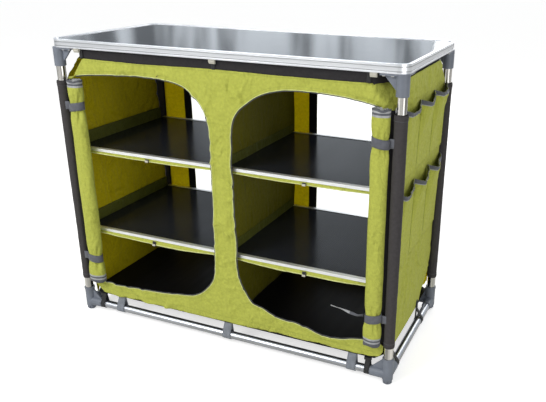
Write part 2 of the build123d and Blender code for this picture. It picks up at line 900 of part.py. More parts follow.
for row, (drop_top, drop_bottom) in pocket_drops.items():
    z_top = green_top_z - drop_top
    z_bottom = green_top_z - drop_bottom
    pitch = 2 * pocket_side_y / pocket_count
    width = pitch - pocket_gap
    with BuildPart() as pockets:
        for i in range(pocket_count):
            y_front = -pocket_side_y + i * pitch + pocket_gap / 2
            add(pocket_body(y_front, width, z_top, z_bottom, 0))
            hollow_top = z_top + pocket_wall
            hollow_bottom = z_bottom + 2 * pocket_wall
            add(
                pocket_body(y_front, width, hollow_top, hollow_bottom, pocket_wall),
                mode=Mode.SUBTRACT,
            )
    save(pockets, "side_pockets_" + row)


# Webbing, straps and hooks

def hanging_loop(middle, along, hang, top, width):
    """Strap round a rail with both ends up behind a hem, hanging off to the side given by hang."""
    with BuildPart() as loop:
        with BuildSketch(Plane(origin=middle, x_dir=Vector(0, 0, 1).cross(Vector(along)), z_dir=along)):
            with BuildSketch():
                with Locations((0, rail_z)):
                    Circle(rail_d / 2 + fit_gap + loop_t)
                with Locations((hang, loop_neck_z)):
                    Circle(loop_t)
                make_hull()
            with BuildSketch(mode=Mode.SUBTRACT):
                with Locations((0, rail_z)):
                    Circle(rail_d / 2 + fit_gap)
                with Locations((hang, loop_neck_z - 3 * loop_t)):
                    Circle(fit_gap)
                make_hull()
            with Locations((hang, (loop_neck_z + top) / 2)):
                Rectangle(2 * loop_t, top - loop_neck_z)
        extrude(amount=width / 2, both=True)
    return loop.part


# How far outside the front and back rails the two plies of a strap hang
hem_hang = panel_out - half_cloth - fit_gap - loop_t
# and how far inside the side rails
wall_hang = leg_x - wall_x(hem_cut_z) - half_cloth - fit_gap - loop_t

with BuildPart() as rail_loops:
    for sy in (-1, 1):
        for x in loop_front_x:
            add(hanging_loop((x, sy * leg_y, 0), (1, 0, 0), sy * hem_hang, loop_top_z, loop_w))
save(rail_loops, "rail_loops")

strap_top = hem_cut_z
with BuildPart() as corner_straps:
    for sx, sy in corners.values():
        middle = (sx * strap_x, sy * leg_y, 0)
        add(hanging_loop(middle, (1, 0, 0), sy * hem_hang, strap_top, strap_w))
        middle = (sx * leg_x, -strap_front_y if sy < 0 else strap_back_y, 0)
        add(hanging_loop(middle, (0, -1, 0), -sx * wall_hang, strap_top, strap_w))
save(corner_straps, "corner_straps")

with BuildPart() as strap_adjusters:
    for sx, sy in corners.values():
        with BuildSketch(Plane.XY.offset(loop_neck_z + 2)):
            with Locations((sx * strap_x, sy * (leg_y + hem_hang))):
                hole_w = strap_w + 2 * fit_gap
                hole_t = 2 * loop_t + 2 * fit_gap
                Rectangle(hole_w + 2 * adjuster_t, hole_t + 2 * adjuster_t)
                Rectangle(hole_w, hole_t, mode=Mode.SUBTRACT)
        extrude(amount=adjuster_h)
save(strap_adjusters, "strap_adjusters")

clip_back = front_y + half_cloth + tape_t + 2 * fit_gap
clip_top = rim_bottom - fit_gap
with BuildPart() as hooks:
    for sy in (-1, 1):
        for x in clip_x:
            with BuildSketch(side_plane(x - clip_w / 2)):
                Polygon(
                    (sy * clip_back, clip_top),
                    (sy * (clip_back + clip_depth), clip_top),
                    (sy * (clip_back + clip_depth), clip_top - clip_h / 2),
                    (sy * (clip_back + clip_depth / 2), clip_top - clip_h),
                    (sy * clip_back, clip_top - clip_h),
                    align=None,
                )
            extrude(amount=clip_w)
    for level, z in shelf_z.items():
        for side in sides.values():
            low, high = shelf_ends(side, z)
            with BuildSketch(front_plane(-sling_flap_y - loop_t - 2 * fit_gap)):
                with Locations(((low + high) / 2, hem_mid_z[level] + hook_h / 2)):
                    Rectangle(hook_w, hook_h)
            extrude(amount=hook_t)
save(hooks, "hooks")

with BuildPart() as clip_elastics:
    for sy in (-1, 1):
        for x in clip_x:
            if abs(x) > panel_cut_x:
                x = x * panel_cut_x / abs(x)
            with BuildSketch(front_plane(sy * (front_y + half_cloth + fit_gap))):
                with Locations((x, rim_bottom - 2 * fit_gap - elastic_len / 2)):
                    Rectangle(elastic_w, elastic_len)
            extrude(amount=-sy * tape_t)
save(clip_elastics, "clip_elastics")
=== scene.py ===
# %% [markdown]
# # A camping cupboard
#
# The object is a folding kitchen cupboard for a tent: a rimmed tabletop on four tube legs, and a
# sewn cloth cabinet that hangs between them, with shelves, rolled-up doors and side pockets.
# The hard parts come ready from the CAD model. This notebook gives them their finishes and
# builds every cloth part anew, because cloth sags, wrinkles and has seams, which solids lack.

# %% Load the frame
import math

import bmesh
import bpy
import numpy as np
from mathutils import Matrix, Vector, noise


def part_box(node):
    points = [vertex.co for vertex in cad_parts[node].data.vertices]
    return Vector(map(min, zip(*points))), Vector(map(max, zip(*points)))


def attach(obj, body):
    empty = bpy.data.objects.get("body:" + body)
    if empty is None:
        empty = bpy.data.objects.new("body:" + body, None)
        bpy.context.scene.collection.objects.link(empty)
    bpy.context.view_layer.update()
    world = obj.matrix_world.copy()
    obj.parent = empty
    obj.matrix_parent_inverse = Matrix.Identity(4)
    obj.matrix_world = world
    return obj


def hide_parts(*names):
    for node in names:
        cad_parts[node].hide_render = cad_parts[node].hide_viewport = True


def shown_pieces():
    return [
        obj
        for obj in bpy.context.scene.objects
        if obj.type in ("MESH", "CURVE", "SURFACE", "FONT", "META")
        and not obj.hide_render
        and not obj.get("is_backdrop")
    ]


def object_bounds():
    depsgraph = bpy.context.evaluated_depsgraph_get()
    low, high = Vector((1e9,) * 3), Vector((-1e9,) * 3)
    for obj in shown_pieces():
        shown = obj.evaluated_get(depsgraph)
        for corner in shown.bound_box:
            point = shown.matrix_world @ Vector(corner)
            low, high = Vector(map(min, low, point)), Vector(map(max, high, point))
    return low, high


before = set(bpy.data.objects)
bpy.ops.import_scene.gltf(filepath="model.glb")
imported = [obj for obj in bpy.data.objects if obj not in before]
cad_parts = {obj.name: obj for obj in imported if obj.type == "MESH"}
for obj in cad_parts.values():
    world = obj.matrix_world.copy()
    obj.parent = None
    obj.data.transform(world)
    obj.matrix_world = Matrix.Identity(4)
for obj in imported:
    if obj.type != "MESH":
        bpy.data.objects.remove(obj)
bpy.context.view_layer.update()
mm = 0.001

# %% [markdown]
# ## Camera
#
# The picture looks at the cupboard from the right front, a little above the table. The camera
# was fitted to the table's corners, the legs and the shelves, so its place is in metres in the
# model's own frame. A small shift of the lens matches how the picture was cropped.


# %% Camera
def place_in_scene(name, data):
    """A new object that holds the data, linked to the scene."""
    holder = bpy.data.objects.new(name, data)
    bpy.context.scene.collection.objects.link(holder)
    return holder


camera_place = (0.8726, -1.5973, 1.0270)
camera_turn, camera_tilt, camera_roll = [math.radians(v) for v in (22.89, 21.26, 0.60)]
camera = place_in_scene("camera", bpy.data.cameras.new("camera"))
camera.data.sensor_width = 36.0
camera.data.lens = 43.87
camera.data.shift_x = -0.0892
camera.data.shift_y = 0.0174
camera.matrix_world = (
    Matrix.Translation(camera_place)
    @ Matrix.Rotation(camera_turn, 4, "Z")
    @ Matrix.Rotation(math.pi / 2 - camera_tilt, 4, "X")
    @ Matrix.Rotation(camera_roll, 4, "Z")
)
bpy.context.scene.camera = camera
bpy.context.scene.view_settings.view_transform = "Standard"

# %% [markdown]
# ## Materials
#
# Each finish is one Principled material. Its constants sit on the shader's own sockets, and
# small node patterns give colour changes and bump. Patterns on rigid parts read Object
# coordinates, and cloth reads its UV map, laid out in metres, so that the weave follows it.


# %% Material helpers
def new_finish(name, colour, roughness, **sockets):
    """A Principled material with constants on its shader's sockets, and its node tree."""
    material = bpy.data.materials.new(name)
    material.use_nodes = True
    shader = material.node_tree.nodes["Principled BSDF"]
    shader.inputs["Base Color"].default_value = (*colour, 1)
    shader.inputs["Roughness"].default_value = roughness
    for socket, value in sockets.items():
        shader.inputs[socket.replace("_", " ")].default_value = value
    return material, material.node_tree


def add_node(tree, kind, inputs, **settings):
    """A shader node whose inputs are set to numbers or linked to other nodes' outputs."""
    made = tree.nodes.new("ShaderNode" + kind)
    for key, value in settings.items():
        setattr(made, key, value)
    for key, value in inputs.items():
        if isinstance(value, bpy.types.NodeSocket):
            tree.links.new(value, made.inputs[key])
        else:
            made.inputs[key].default_value = value
    return made


def plug(tree, **outputs):
    """Links each output to the Principled shader's socket of that name."""
    for socket, output in outputs.items():
        tree.links.new(output, tree.nodes["Principled BSDF"].inputs[socket.replace("_", " ")])


# %% [markdown]
# All the finishes are built from a few patterns: a cloudy noise, a weave of two crossed waves,
# and blends between two shades. Each helper below adds one of them to a material's node tree
# and gives back the output, so that a finish reads as a short recipe.


# %% Patterns that the finishes share
def coordinates(tree, kind="Object"):
    return add_node(tree, "TexCoord", {}).outputs[kind]


def stretched(tree, where, scale, turn=0.0):
    """Coordinates scaled and turned about Z, so that a pattern on them is stretched."""
    inputs = {"Vector": where, "Scale": scale, "Rotation": (0, 0, turn)}
    return add_node(tree, "Mapping", inputs).outputs[0]


def clouds(tree, where, scale, detail=2.0, **inputs):
    """A cloudy value, mostly between 0.3 and 0.7."""
    inputs = {"Vector": where, "Scale": scale, "Detail": detail, **inputs}
    return add_node(tree, "TexNoise", inputs).outputs["Fac"]


def carry(tree, value, start, end, low, high, **settings):
    """The value's range from start to end, carried over to the range from low to high."""
    inputs = {"Value": value, "From Min": start, "From Max": end, "To Min": low, "To Max": high}
    return add_node(tree, "MapRange", inputs, **settings).outputs[0]


def blend(tree, share, first, second, **settings):
    """A colour between the first and the second."""
    inputs = {0: share, 6: first, 7: second}
    return add_node(tree, "Mix", inputs, data_type="RGBA", **settings).outputs[2]


def shade(colour, factor=1.0):
    """The colour made darker or lighter, with the alpha that sockets want."""
    return (*[min(c * factor, 1.0) for c in colour], 1)


def mottled(tree, where, scale, colour, dark, light, detail=4.0):
    """A colour that drifts between a darker and a lighter shade of itself."""
    drift = carry(tree, clouds(tree, where, scale, detail), 0.33, 0.67, 0.0, 1.0)
    return blend(tree, drift, shade(colour, dark), shade(colour, light))


def weave(tree, where, across, along):
    """Two crossed sets of threads, from 0 to 1, with their periods in metres."""
    waves = []
    for period, direction in ((across, "X"), (along, "Y")):
        inputs = {"Vector": where, "Scale": math.pi / 10 / period}
        wave = add_node(tree, "TexWave", inputs, bands_direction=direction)
        waves.append(wave.outputs["Fac"])
    return add_node(tree, "Math", {0: waves[0], 1: waves[1]}, operation="MULTIPLY").outputs[0]


def bump(tree, height, distance, strength, below=None):
    """A normal from a height pattern, laid over another bump where one is given."""
    inputs = {"Height": height, "Distance": distance, "Strength": strength}
    if below is not None:
        inputs["Normal"] = below
    return add_node(tree, "Bump", inputs).outputs["Normal"]


# %% [markdown]
# The tabletop and the shelves are hard boards under a glossy film with a fine printed weave.
# Two crossed wave patterns make the print, and a faint noise breaks the gloss as the ripples
# of a thin laminate do.


# %% Laminate
def laminate(name, ground, line, period, roughness, gloss=0.5, coat=0.25):
    """A glossy film: ground and line are the colours of its print, period the print's pitch."""
    film = {"Specular_IOR_Level": gloss, "Coat_Weight": coat, "Coat_Roughness": 0.08}
    material, tree = new_finish(name, ground, roughness, **film)
    where = coordinates(tree)
    lines = weave(tree, where, period, period * 0.62)
    patches = mottled(tree, where, 9.0, ground, 0.8, 1.25)
    wear = clouds(tree, stretched(tree, where, (60.0, 4.0, 1.0)), 1.0)
    ripple = bump(tree, clouds(tree, where, 14.0), 0.0002, 0.3)
    plug(
        tree,
        Base_Color=blend(tree, lines, patches, shade(line)),
        Roughness=carry(tree, wear, 0.0, 1.0, roughness * 0.7, roughness * 1.5),
        Normal=bump(tree, lines, 0.00004, 0.5, ripple),
    )
    return material


table_print = ((0.036, 0.044, 0.058), (0.11, 0.125, 0.15), 0.0042)
shelf_print = ((0.009, 0.010, 0.014), (0.040, 0.044, 0.056), 0.0042)
floor_print = ((0.0035, 0.0035, 0.0045), (0.007, 0.007, 0.009), 0.0032)
table_film = laminate("table_film", *table_print, 0.055)
shelf_film = laminate("shelf_film", *shelf_print, 0.17, 0.11, 0.0)
floor_film = laminate("floor_film", *floor_print, 0.36, 0.04, 0.0)

# %% [markdown]
# The rim and the shelf edges are extruded aluminium, and the legs and rails are drawn tube.
# Both carry fine lines along their length. A noise stretched along the part draws them in the
# roughness and the bump. On the rim, the shelf edges and the plate it leaves the colour nearly
# even. On the legs and rails it also paints wide darker and lighter streaks into the colour,
# which are painted reflection, and on the rails partly drawn lines too. The rim also has grooves,
# and a colour ramp over its height darkens them with painted shade.


# %% Metal
def drawn_metal(name, colour, roughness, stretch, shades=(0.93, 1.05)):
    """shades are how much darker and lighter the streaks are than the metal: drawn lines where they
    are near 1, and painted reflection where they spread wide, as on the legs and rails.
    """
    material, tree = new_finish(name, colour, roughness, Metallic=1.0)
    grain = clouds(tree, stretched(tree, coordinates(tree), stretch), 1.0, 3.0)
    lines = carry(tree, grain, 0.35, 0.65, 0.0, 1.0)
    plug(
        tree,
        Base_Color=blend(tree, lines, shade(colour, shades[0]), shade(colour, shades[1])),
        Roughness=carry(tree, grain, 0.0, 1.0, roughness * 0.75, roughness * 1.3),
        Normal=bump(tree, grain, 0.00005, 0.4),
    )
    return material


def painted_groove_shade(tree, node, stops):
    """Paints shade on an extrusion by height, darkest in its grooves: stops are (share of its height,
    brightness).
    """
    low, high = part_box(node)
    height = add_node(tree, "SeparateXYZ", {0: coordinates(tree)}).outputs["Z"]
    share = carry(tree, height, low.z, high.z, 0.0, 1.0)
    ramp = add_node(tree, "ValToRGB", {"Fac": share})
    while len(ramp.color_ramp.elements) < len(stops):
        ramp.color_ramp.elements.new(0.5)
    for element, (place, bright) in zip(ramp.color_ramp.elements, stops):
        element.position = place
        element.color = (bright, bright, bright, 1)
    before = tree.nodes["Principled BSDF"].inputs["Base Color"].links[0].from_socket
    plug(tree, Base_Color=blend(tree, 1.0, before, ramp.outputs["Color"], blend_type="MULTIPLY"))


along_x, along_y, upright = (4.0, 150.0, 150.0), (150.0, 4.0, 150.0), (110.0, 110.0, 3.0)
even = (300.0, 300.0, 300.0)
rim_aluminium = drawn_metal("rim_aluminium", (0.93, 0.94, 0.97), 0.33, (8.0, 8.0, 900.0))
# The stops at 0.50 are painted shade in the rim's two grooves, and the one at 0.90 a slight painted
# shade leading into the upper groove.
rim_groove_shade_stops = [
    (0.0, 1.0), (0.16, 1.0), (0.20, 0.50), (0.25, 0.50), (0.30, 0.98),
    (0.62, 0.90), (0.66, 0.50), (0.71, 0.50), (0.76, 1.0), (1.0, 1.0),
]
painted_groove_shade(rim_aluminium.node_tree, "table_rim", rim_groove_shade_stops)
edge_aluminium = drawn_metal("shelf_edge_aluminium", (0.95, 0.95, 0.94), 0.48, (8.0, 900.0, 900.0))
# The legs' wide shades paint streaks of reflection into the colour: painted reflection.
tube_upright = drawn_metal("tube_upright", (0.68, 0.66, 0.62), 0.14, upright, (0.45, 1.2))
# The rails' shades are partly drawn lines and partly painted reflection.
rail_colour, rail_lines_and_reflection = (0.54, 0.55, 0.58), (0.75, 1.15)
tube_long = drawn_metal("tube_long", rail_colour, 0.30, along_x, rail_lines_and_reflection)
tube_deep = drawn_metal("tube_deep", rail_colour, 0.30, along_y, rail_lines_and_reflection)
zinc_plate = drawn_metal("zinc_plate", (0.62, 0.61, 0.58), 0.30, even)

# %% [markdown]
# The joints, brackets and feet are moulded plastic with the fine spark-eroded grain of the
# mould. A small noise is the grain, and a second one, much larger, the slight shade changes
# that handling leaves.


# %% Plastic
def moulded(name, colour, roughness):
    material, tree = new_finish(name, colour, roughness)
    where = coordinates(tree)
    grain = bump(tree, clouds(tree, where, 1400.0), 0.00006, 0.5)
    plug(tree, Base_Color=mottled(tree, where, 25.0, colour, 0.9, 1.12), Normal=grain)
    return material


joint_plastic = moulded("joint_plastic", (0.185, 0.205, 0.245), 0.42)
hook_plastic = moulded("hook_plastic", (0.60, 0.58, 0.50), 0.4)
adjuster_plastic = moulded("adjuster_plastic", (0.012, 0.012, 0.012), 0.38)

# %% [markdown]
# The cabinet is coated polyester cloth in lime green, with dark grey sleeves. Warp and weft
# are two crossed waves on the UV map. Fine crumples come from two noises, the larger of them
# slanted and stretched, so that light breaks up on the cloth as it does on a coated weave that
# has been packed away folded. The inner faces carry the coating, and are yellower. The back
# wall's inner face is brighter still: partly the coating, and partly painted light from behind it that
# shines through.


# %% Cloth
thread = 0.0011


def cloth(name, colour, roughness=0.62, crumple=0.0095, **sockets):
    """Woven cloth: crossed threads, a drifting tone, soft creases and a fine crumple."""
    sheen = {"Sheen_Weight": 0.02, "Sheen_Roughness": 0.4, "Specular_IOR_Level": 0.06}
    material, tree = new_finish(name, colour, roughness, **sheen, **sockets)
    where = coordinates(tree, "UV")
    threads = weave(tree, where, thread, thread)
    tone = mottled(tree, where, 130.0, colour, 0.90, 1.10, 8.0)
    slanted = stretched(tree, where, (1.0, 0.38, 1.0), 0.65)
    creases = clouds(tree, slanted, 26.0, 4.0, Roughness=0.55, Distortion=1.4)
    soft = bump(tree, creases, crumple * 1.6, 0.7)
    fine = bump(tree, clouds(tree, where, 95.0, 3.0, Distortion=0.5), crumple * 0.5, 0.6, soft)
    plug(
        tree,
        Base_Color=blend(tree, threads, tone, shade(colour, 0.84)),
        Normal=bump(tree, threads, 0.00012, 0.5, fine),
    )
    return material


light_through = {
    "Subsurface_Weight": 0.6,
    "Subsurface_Scale": 0.004,
    "Subsurface_Radius": (1.0, 0.9, 0.3),
}
lime_cloth = cloth("lime_cloth", (0.505, 0.535, 0.098))
lime_inside = cloth("lime_inside", (0.56, 0.46, 0.006), 0.55)
# The divider is the lime cloth darkened with painted shade, for the shade it stands in inside the
# cabinet.
divider_painted_shade = cloth("divider_painted_shade", (0.155, 0.145, 0.010), 0.6)
# The back wall's inner face is partly the coating's colour and partly painted light shining through
# from behind.
mustard_and_painted_backlight = cloth("mustard_and_painted_backlight", (0.86, 0.72, 0.025), 0.55, **light_through)
olive_cloth = cloth("olive_cloth", (0.105, 0.115, 0.018))
dark_cloth = cloth("dark_cloth", (0.036, 0.034, 0.036), 0.66, 0.002)
sleeve_cloth = cloth("sleeve_cloth", (0.066, 0.061, 0.062), 0.62, 0.002)
binding_cloth = cloth("binding_cloth", (0.018, 0.018, 0.019), 0.7, 0.002)

# %% [markdown]
# Webbing and zip tape are narrow weaves with ribs across them. One wave along the tape makes
# the ribs, and a finer one the threads.


# %% Webbing
def webbing(name, colour, rib):
    material, tree = new_finish(name, colour, 0.68, Sheen_Weight=0.1)
    where = coordinates(tree, "UV")
    ribs = bump(tree, weave(tree, where, rib * 0.45, rib), 0.0003, 0.6)
    plug(tree, Base_Color=mottled(tree, where, 60.0, colour, 0.8, 1.15), Normal=ribs)
    return material


grey_strap = webbing("grey_strap", (0.115, 0.12, 0.14), 0.0022)
zip_tape = webbing("zip_tape", (0.10, 0.105, 0.12), 0.0014)
dark_tape = webbing("dark_tape", (0.045, 0.045, 0.050), 0.0014)
black_strap = webbing("black_strap", (0.012, 0.012, 0.013), 0.002)
rail_strap = webbing("rail_strap", (0.22, 0.24, 0.275), 0.0024)
lime_seam = webbing("lime_seam", (0.34, 0.38, 0.05), 0.0012)
pale_thread = webbing("pale_thread", (0.72, 0.76, 0.30), 0.0012)
silver_thread = webbing("silver_thread", (0.42, 0.43, 0.44), 0.0012)
print("finishes:", len(bpy.data.materials))

# %% [markdown]
# ## Hard parts
#
# These shapes are right as they come, so each CAD node only gets its material. A material is
# chosen by what the node is, and by which way the part runs where the finish has a direction.

# %% Finishes for the CAD nodes
finishes = {
    table_film: ("tabletop",),
    rim_aluminium: ("table_rim",),
    edge_aluminium: ("shelf_trims",),
    floor_film: ("floor_panel",),
    shelf_film: ("shelf_board",),
    joint_plastic: ("top_bracket", "corner_joint", "foot_knob"),
    zinc_plate: ("foot_stud", "bracket_screws"),
    tube_long: ("rail_front", "rail_back"),
    tube_deep: ("rail_left", "rail_right"),
    tube_upright: ("leg_fl", "leg_fr", "leg_bl", "leg_br"),
    hook_plastic: ("hooks",),
    adjuster_plastic: ("strap_adjusters",),
}
finished = 0
for node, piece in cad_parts.items():
    for material, starts in finishes.items():
        if node.startswith(starts):
            piece.data.materials.clear()
            piece.data.materials.append(material)
            finished += 1
print("CAD nodes with a finish:", finished)

# %% [markdown]
# ## Places read from the frame
#
# Every cloth part is placed from the boxes of the CAD nodes that it stands for, so it can't
# drift from the model.


# %% Places
def middle(node):
    """The middle of a CAD node's box."""
    low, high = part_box(node)
    return (low + high) / 2


front_low, front_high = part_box("front_panel")
wall_low, wall_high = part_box("side_panel_right")
sleeve_low, sleeve_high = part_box("leg_sleeve_fr")
floor_low, floor_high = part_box("floor_panel")
leg_x, leg_y = middle("leg_fr").x, abs(middle("leg_fr").y)
front_y, back_y = middle("front_panel").y, middle("back_panel").y
divider_x = middle("divider_panel").x
corners = {"fl": (-1, -1), "fr": (1, -1), "bl": (-1, 1), "br": (1, 1)}
sides = (("left", -1), ("right", 1))


def wall_x(z):
    """Where a side wall's cloth is at height z: it leans in towards its hem."""
    lean = (z - wall_low.z) / (wall_high.z - wall_low.z)
    thickness = front_high.y - front_low.y
    return wall_low.x + thickness / 2 + lean * (wall_high.x - wall_low.x - thickness)


print("leg axes at", round(leg_x, 4), round(leg_y, 4), "walls from", wall_x(0.068), wall_x(0.76))

# %% [markdown]
# ## Cloth makers
#
# Two helpers make nearly all the cloth. A flat cut with a free outline and holes is filled,
# sliced into small cells and then bent into place. A strip or tube is a plain grid of points.
# Both write a UV map in metres for the weave, and a Solidify modifier gives the thickness.


# %% Smooth outlines
def curve_through(points, step=0.008):
    """Points along a smooth line through the given ones, which are in millimetres."""
    known = [Vector(p) * mm for p in points]
    known = [known[0] * 2 - known[1], *known, known[-1] * 2 - known[-2]]
    made = []
    for a, b, c, d in zip(known, known[1:], known[2:], known[3:]):
        bend, twist = 2 * a - 5 * b + 4 * c - d, 3 * b - a - 3 * c + d
        count = max(1, round((c - b).length / step))
        for i in range(count):
            t = i / count
            made.append(0.5 * (2 * b + (c - a) * t + bend * t**2 + twist * t**3))
    return made


def outline(*runs):
    """A closed loop of smooth runs, each from the last point of the run before, with corners."""
    starts = [run[-1] for run in runs]
    starts = starts[-1:] + starts[:-1]
    return [p for start, run in zip(starts, runs) for p in curve_through([start, *run])]


# %% Link a finished mesh
cloth_t = 0.0012


def add_piece(name, bm, materials, thickness, offset=0.0, inner=0):
    """A smooth-shaded object. inner is how many slots on the inner face's material is."""
    mesh = bpy.data.meshes.new(name)
    bm.normal_update()
    bm.to_mesh(mesh)
    bm.free()
    piece = place_in_scene(name, mesh)
    for material in materials:
        mesh.materials.append(material)
    mesh.shade_smooth()
    solidify = piece.modifiers.new("cloth_thickness", "SOLIDIFY")
    solidify.thickness = thickness
    solidify.offset = offset
    solidify.material_offset = inner
    return piece


# %% Cut cloth with an outline
def cut_cloth(name, loops, place, materials, cell, flip=False):
    """A flat cut from 2-D loops, the first outside and the rest holes, bent by place(u, v).

    The first material is the outer face's, and the second, if any, the inner face's.
    """
    bm = bmesh.new()
    for loop in loops:
        ring = [bm.verts.new((p.x, p.y, 0)) for p in loop]
        for a, b in zip(ring, ring[1:] + ring[:1]):
            bm.edges.new((a, b))
    bmesh.ops.triangle_fill(bm, use_beauty=True, edges=bm.edges[:])
    wrong_way = [f for f in bm.faces if (f.normal.z < 0) != flip]
    bmesh.ops.reverse_faces(bm, faces=wrong_way)
    area = sum(f.calc_area() for f in bm.faces)
    low = [min(v.co[k] for v in bm.verts) for k in (0, 1)]
    high = [max(v.co[k] for v in bm.verts) for k in (0, 1)]
    for k in (0, 1):
        for i in range(1, int((high[k] - low[k]) / cell)):
            point, normal = Vector((0, 0, 0)), Vector((0, 0, 0))
            point[k], normal[k] = low[k] + i * cell, 1
            parts = bm.verts[:] + bm.edges[:] + bm.faces[:]
            bmesh.ops.bisect_plane(bm, geom=parts, plane_co=point, plane_no=normal, dist=1e-6)
    bmesh.ops.dissolve_degenerate(bm, dist=1e-5, edges=bm.edges[:])
    uv = bm.loops.layers.uv.new("cloth")
    for face in bm.faces:
        for corner in face.loops:
            corner[uv].uv = corner.vert.co.xy
    for v in bm.verts:
        v.co = place(v.co.x, v.co.y)
    piece = add_piece(name, bm, materials, cloth_t, inner=int(len(materials) > 1))
    piece["flat"] = (high[0] - low[0], high[1] - low[1])
    piece["cut_area"] = area
    return piece


# %% Cloth from a grid of points
def grid_cloth(name, rows, materials, thickness=cloth_t, around=False, offset=0.0, choose=None):
    """Quads through rows of points. around closes each row; choose picks a face's material."""
    points = np.array([[tuple(p) for p in row] for row in rows], float)
    if around:
        points = np.concatenate([points, points[:, :1]], axis=1)
    across = np.linalg.norm(np.diff(points, axis=1), axis=2).mean(0)
    along = np.linalg.norm(np.diff(points, axis=0), axis=2).mean(1)
    u = np.concatenate([[0], np.cumsum(across)])
    v = np.concatenate([[0], np.cumsum(along)])
    bm = bmesh.new()
    uv = bm.loops.layers.uv.new("cloth")
    verts = [[bm.verts.new(p) for p in (row[:-1] if around else row)] for row in points]
    count = len(verts[0])
    for i in range(len(verts) - 1):
        for j in range(count if around else count - 1):
            k = (j + 1) % count
            face = bm.faces.new((verts[i][j], verts[i][k], verts[i + 1][k], verts[i + 1][j]))
            for corner, (a, b) in zip(face.loops, ((j, i), (j + 1, i), (j + 1, i + 1), (j, i + 1))):
                corner[uv].uv = (u[a], v[b])
            if choose:
                face.material_index = choose(i / (len(verts) - 1), j / count)
    piece = add_piece(name, bm, materials, thickness, offset)
    piece["flat"] = (u[-1], v[-1])
    piece["cut_area"] = u[-1] * v[-1]
    return piece


# %% Folds and slack
def slack(x, y, z, depth, size=0.13):
    """A soft uneven height, the same each run, for cloth that isn't pulled tight."""
    where = Vector((x, y, z)) / size
    return depth * noise.fractal(where, 0.9, 2.0, 3, noise_basis="PERLIN_NEW")


def within(value):
    """The value, kept between 0 and 1."""
    return min(1.0, max(0.0, value))


def crease(u, v, seed, depth, size=0.075):
    """Thin slanting ridges in places, as cloth keeps them after it was packed away."""
    where = Vector((u + 0.8 * v, (v - 0.8 * u) * 0.42, seed * 7.3)) / size
    ridge = max(0.0, 1 - abs(noise.noise(where)) / 0.12)
    how_much = 0.45 + 1.3 * noise.noise(where * 0.45 + Vector((5, 9, 3)))
    return depth * ridge**1.5 * within(how_much)


def fold(u, v, start, end, width, depth):
    """The height of one crease from start to end in millimetres, deepest at its start."""
    a, b = Vector(start) * mm, Vector(end) * mm
    line = b - a
    p = Vector((u, v)) - a
    t = p.dot(line) / line.length_squared
    if not -0.1 < t < 1.05:
        return 0.0
    off = (p - line * t).length / (width * mm)
    fade = min(1.0, (t + 0.1) * 8) * max(0.0, 1 - t) ** 0.7
    return depth * mm * fade * math.exp(-off * off)


# %% [markdown]
# ## Front wall
#
# The front is one cut: a header, a pillar and a hem strip, with an opening on each side of the
# pillar. The edges are not straight: the zip tape pulls them into waves, most of all at the
# bottom right. So the outline is drawn through listed points, and creases run out of the
# corners where the doors are tied back. At the top right the corner is folded back.

# %% Outline of the front wall
left_edge = [
    (-452, 708), (-401, 717), (-330, 723), (-254, 727), (-154, 726), (-95, 714), (-56, 688),
    (-30, 655), (-19, 610), (-17, 540), (-19, 400), (-20, 250), (-28, 192), (-54, 153),
    (-91, 128), (-145, 116), (-224, 108), (-321, 101), (-400, 103), (-452, 106),
]
right_edge = [
    (452, 112), (403, 110), (340, 95), (293, 93), (256, 103), (223, 111), (171, 115),
    (126, 130), (90, 146), (70, 170), (54, 205), (45, 250), (46, 330), (42, 440), (42, 484),
    (38.5, 525), (43, 572), (43, 605), (54, 648), (81, 679), (118, 705), (160, 721),
    (208, 728), (308, 727), (404, 715), (452, 698),
]
hem_edge = [
    (-424, 75), (-385, 65), (-229, 66), (-81, 65), (-3, 66.5), (81, 65), (163, 67.5),
    (275, 68), (365, 66), (425, 69), (450, 74), (460, 88),
]
front_cut = outline(
    [(-415, 735), (-436, 705), (-452, 702), (-452, 708)],
    left_edge[1:],
    [(-446, 102), (-441, 92)],
    hem_edge,
    [(461, 107), (452, 112)],
    right_edge[1:],
    [(459, 690)],
    [(460, 735), (457, 761)],
    [(404, 760), (200, 759), (0, 761), (-200, 758), (-396, 760)],
)

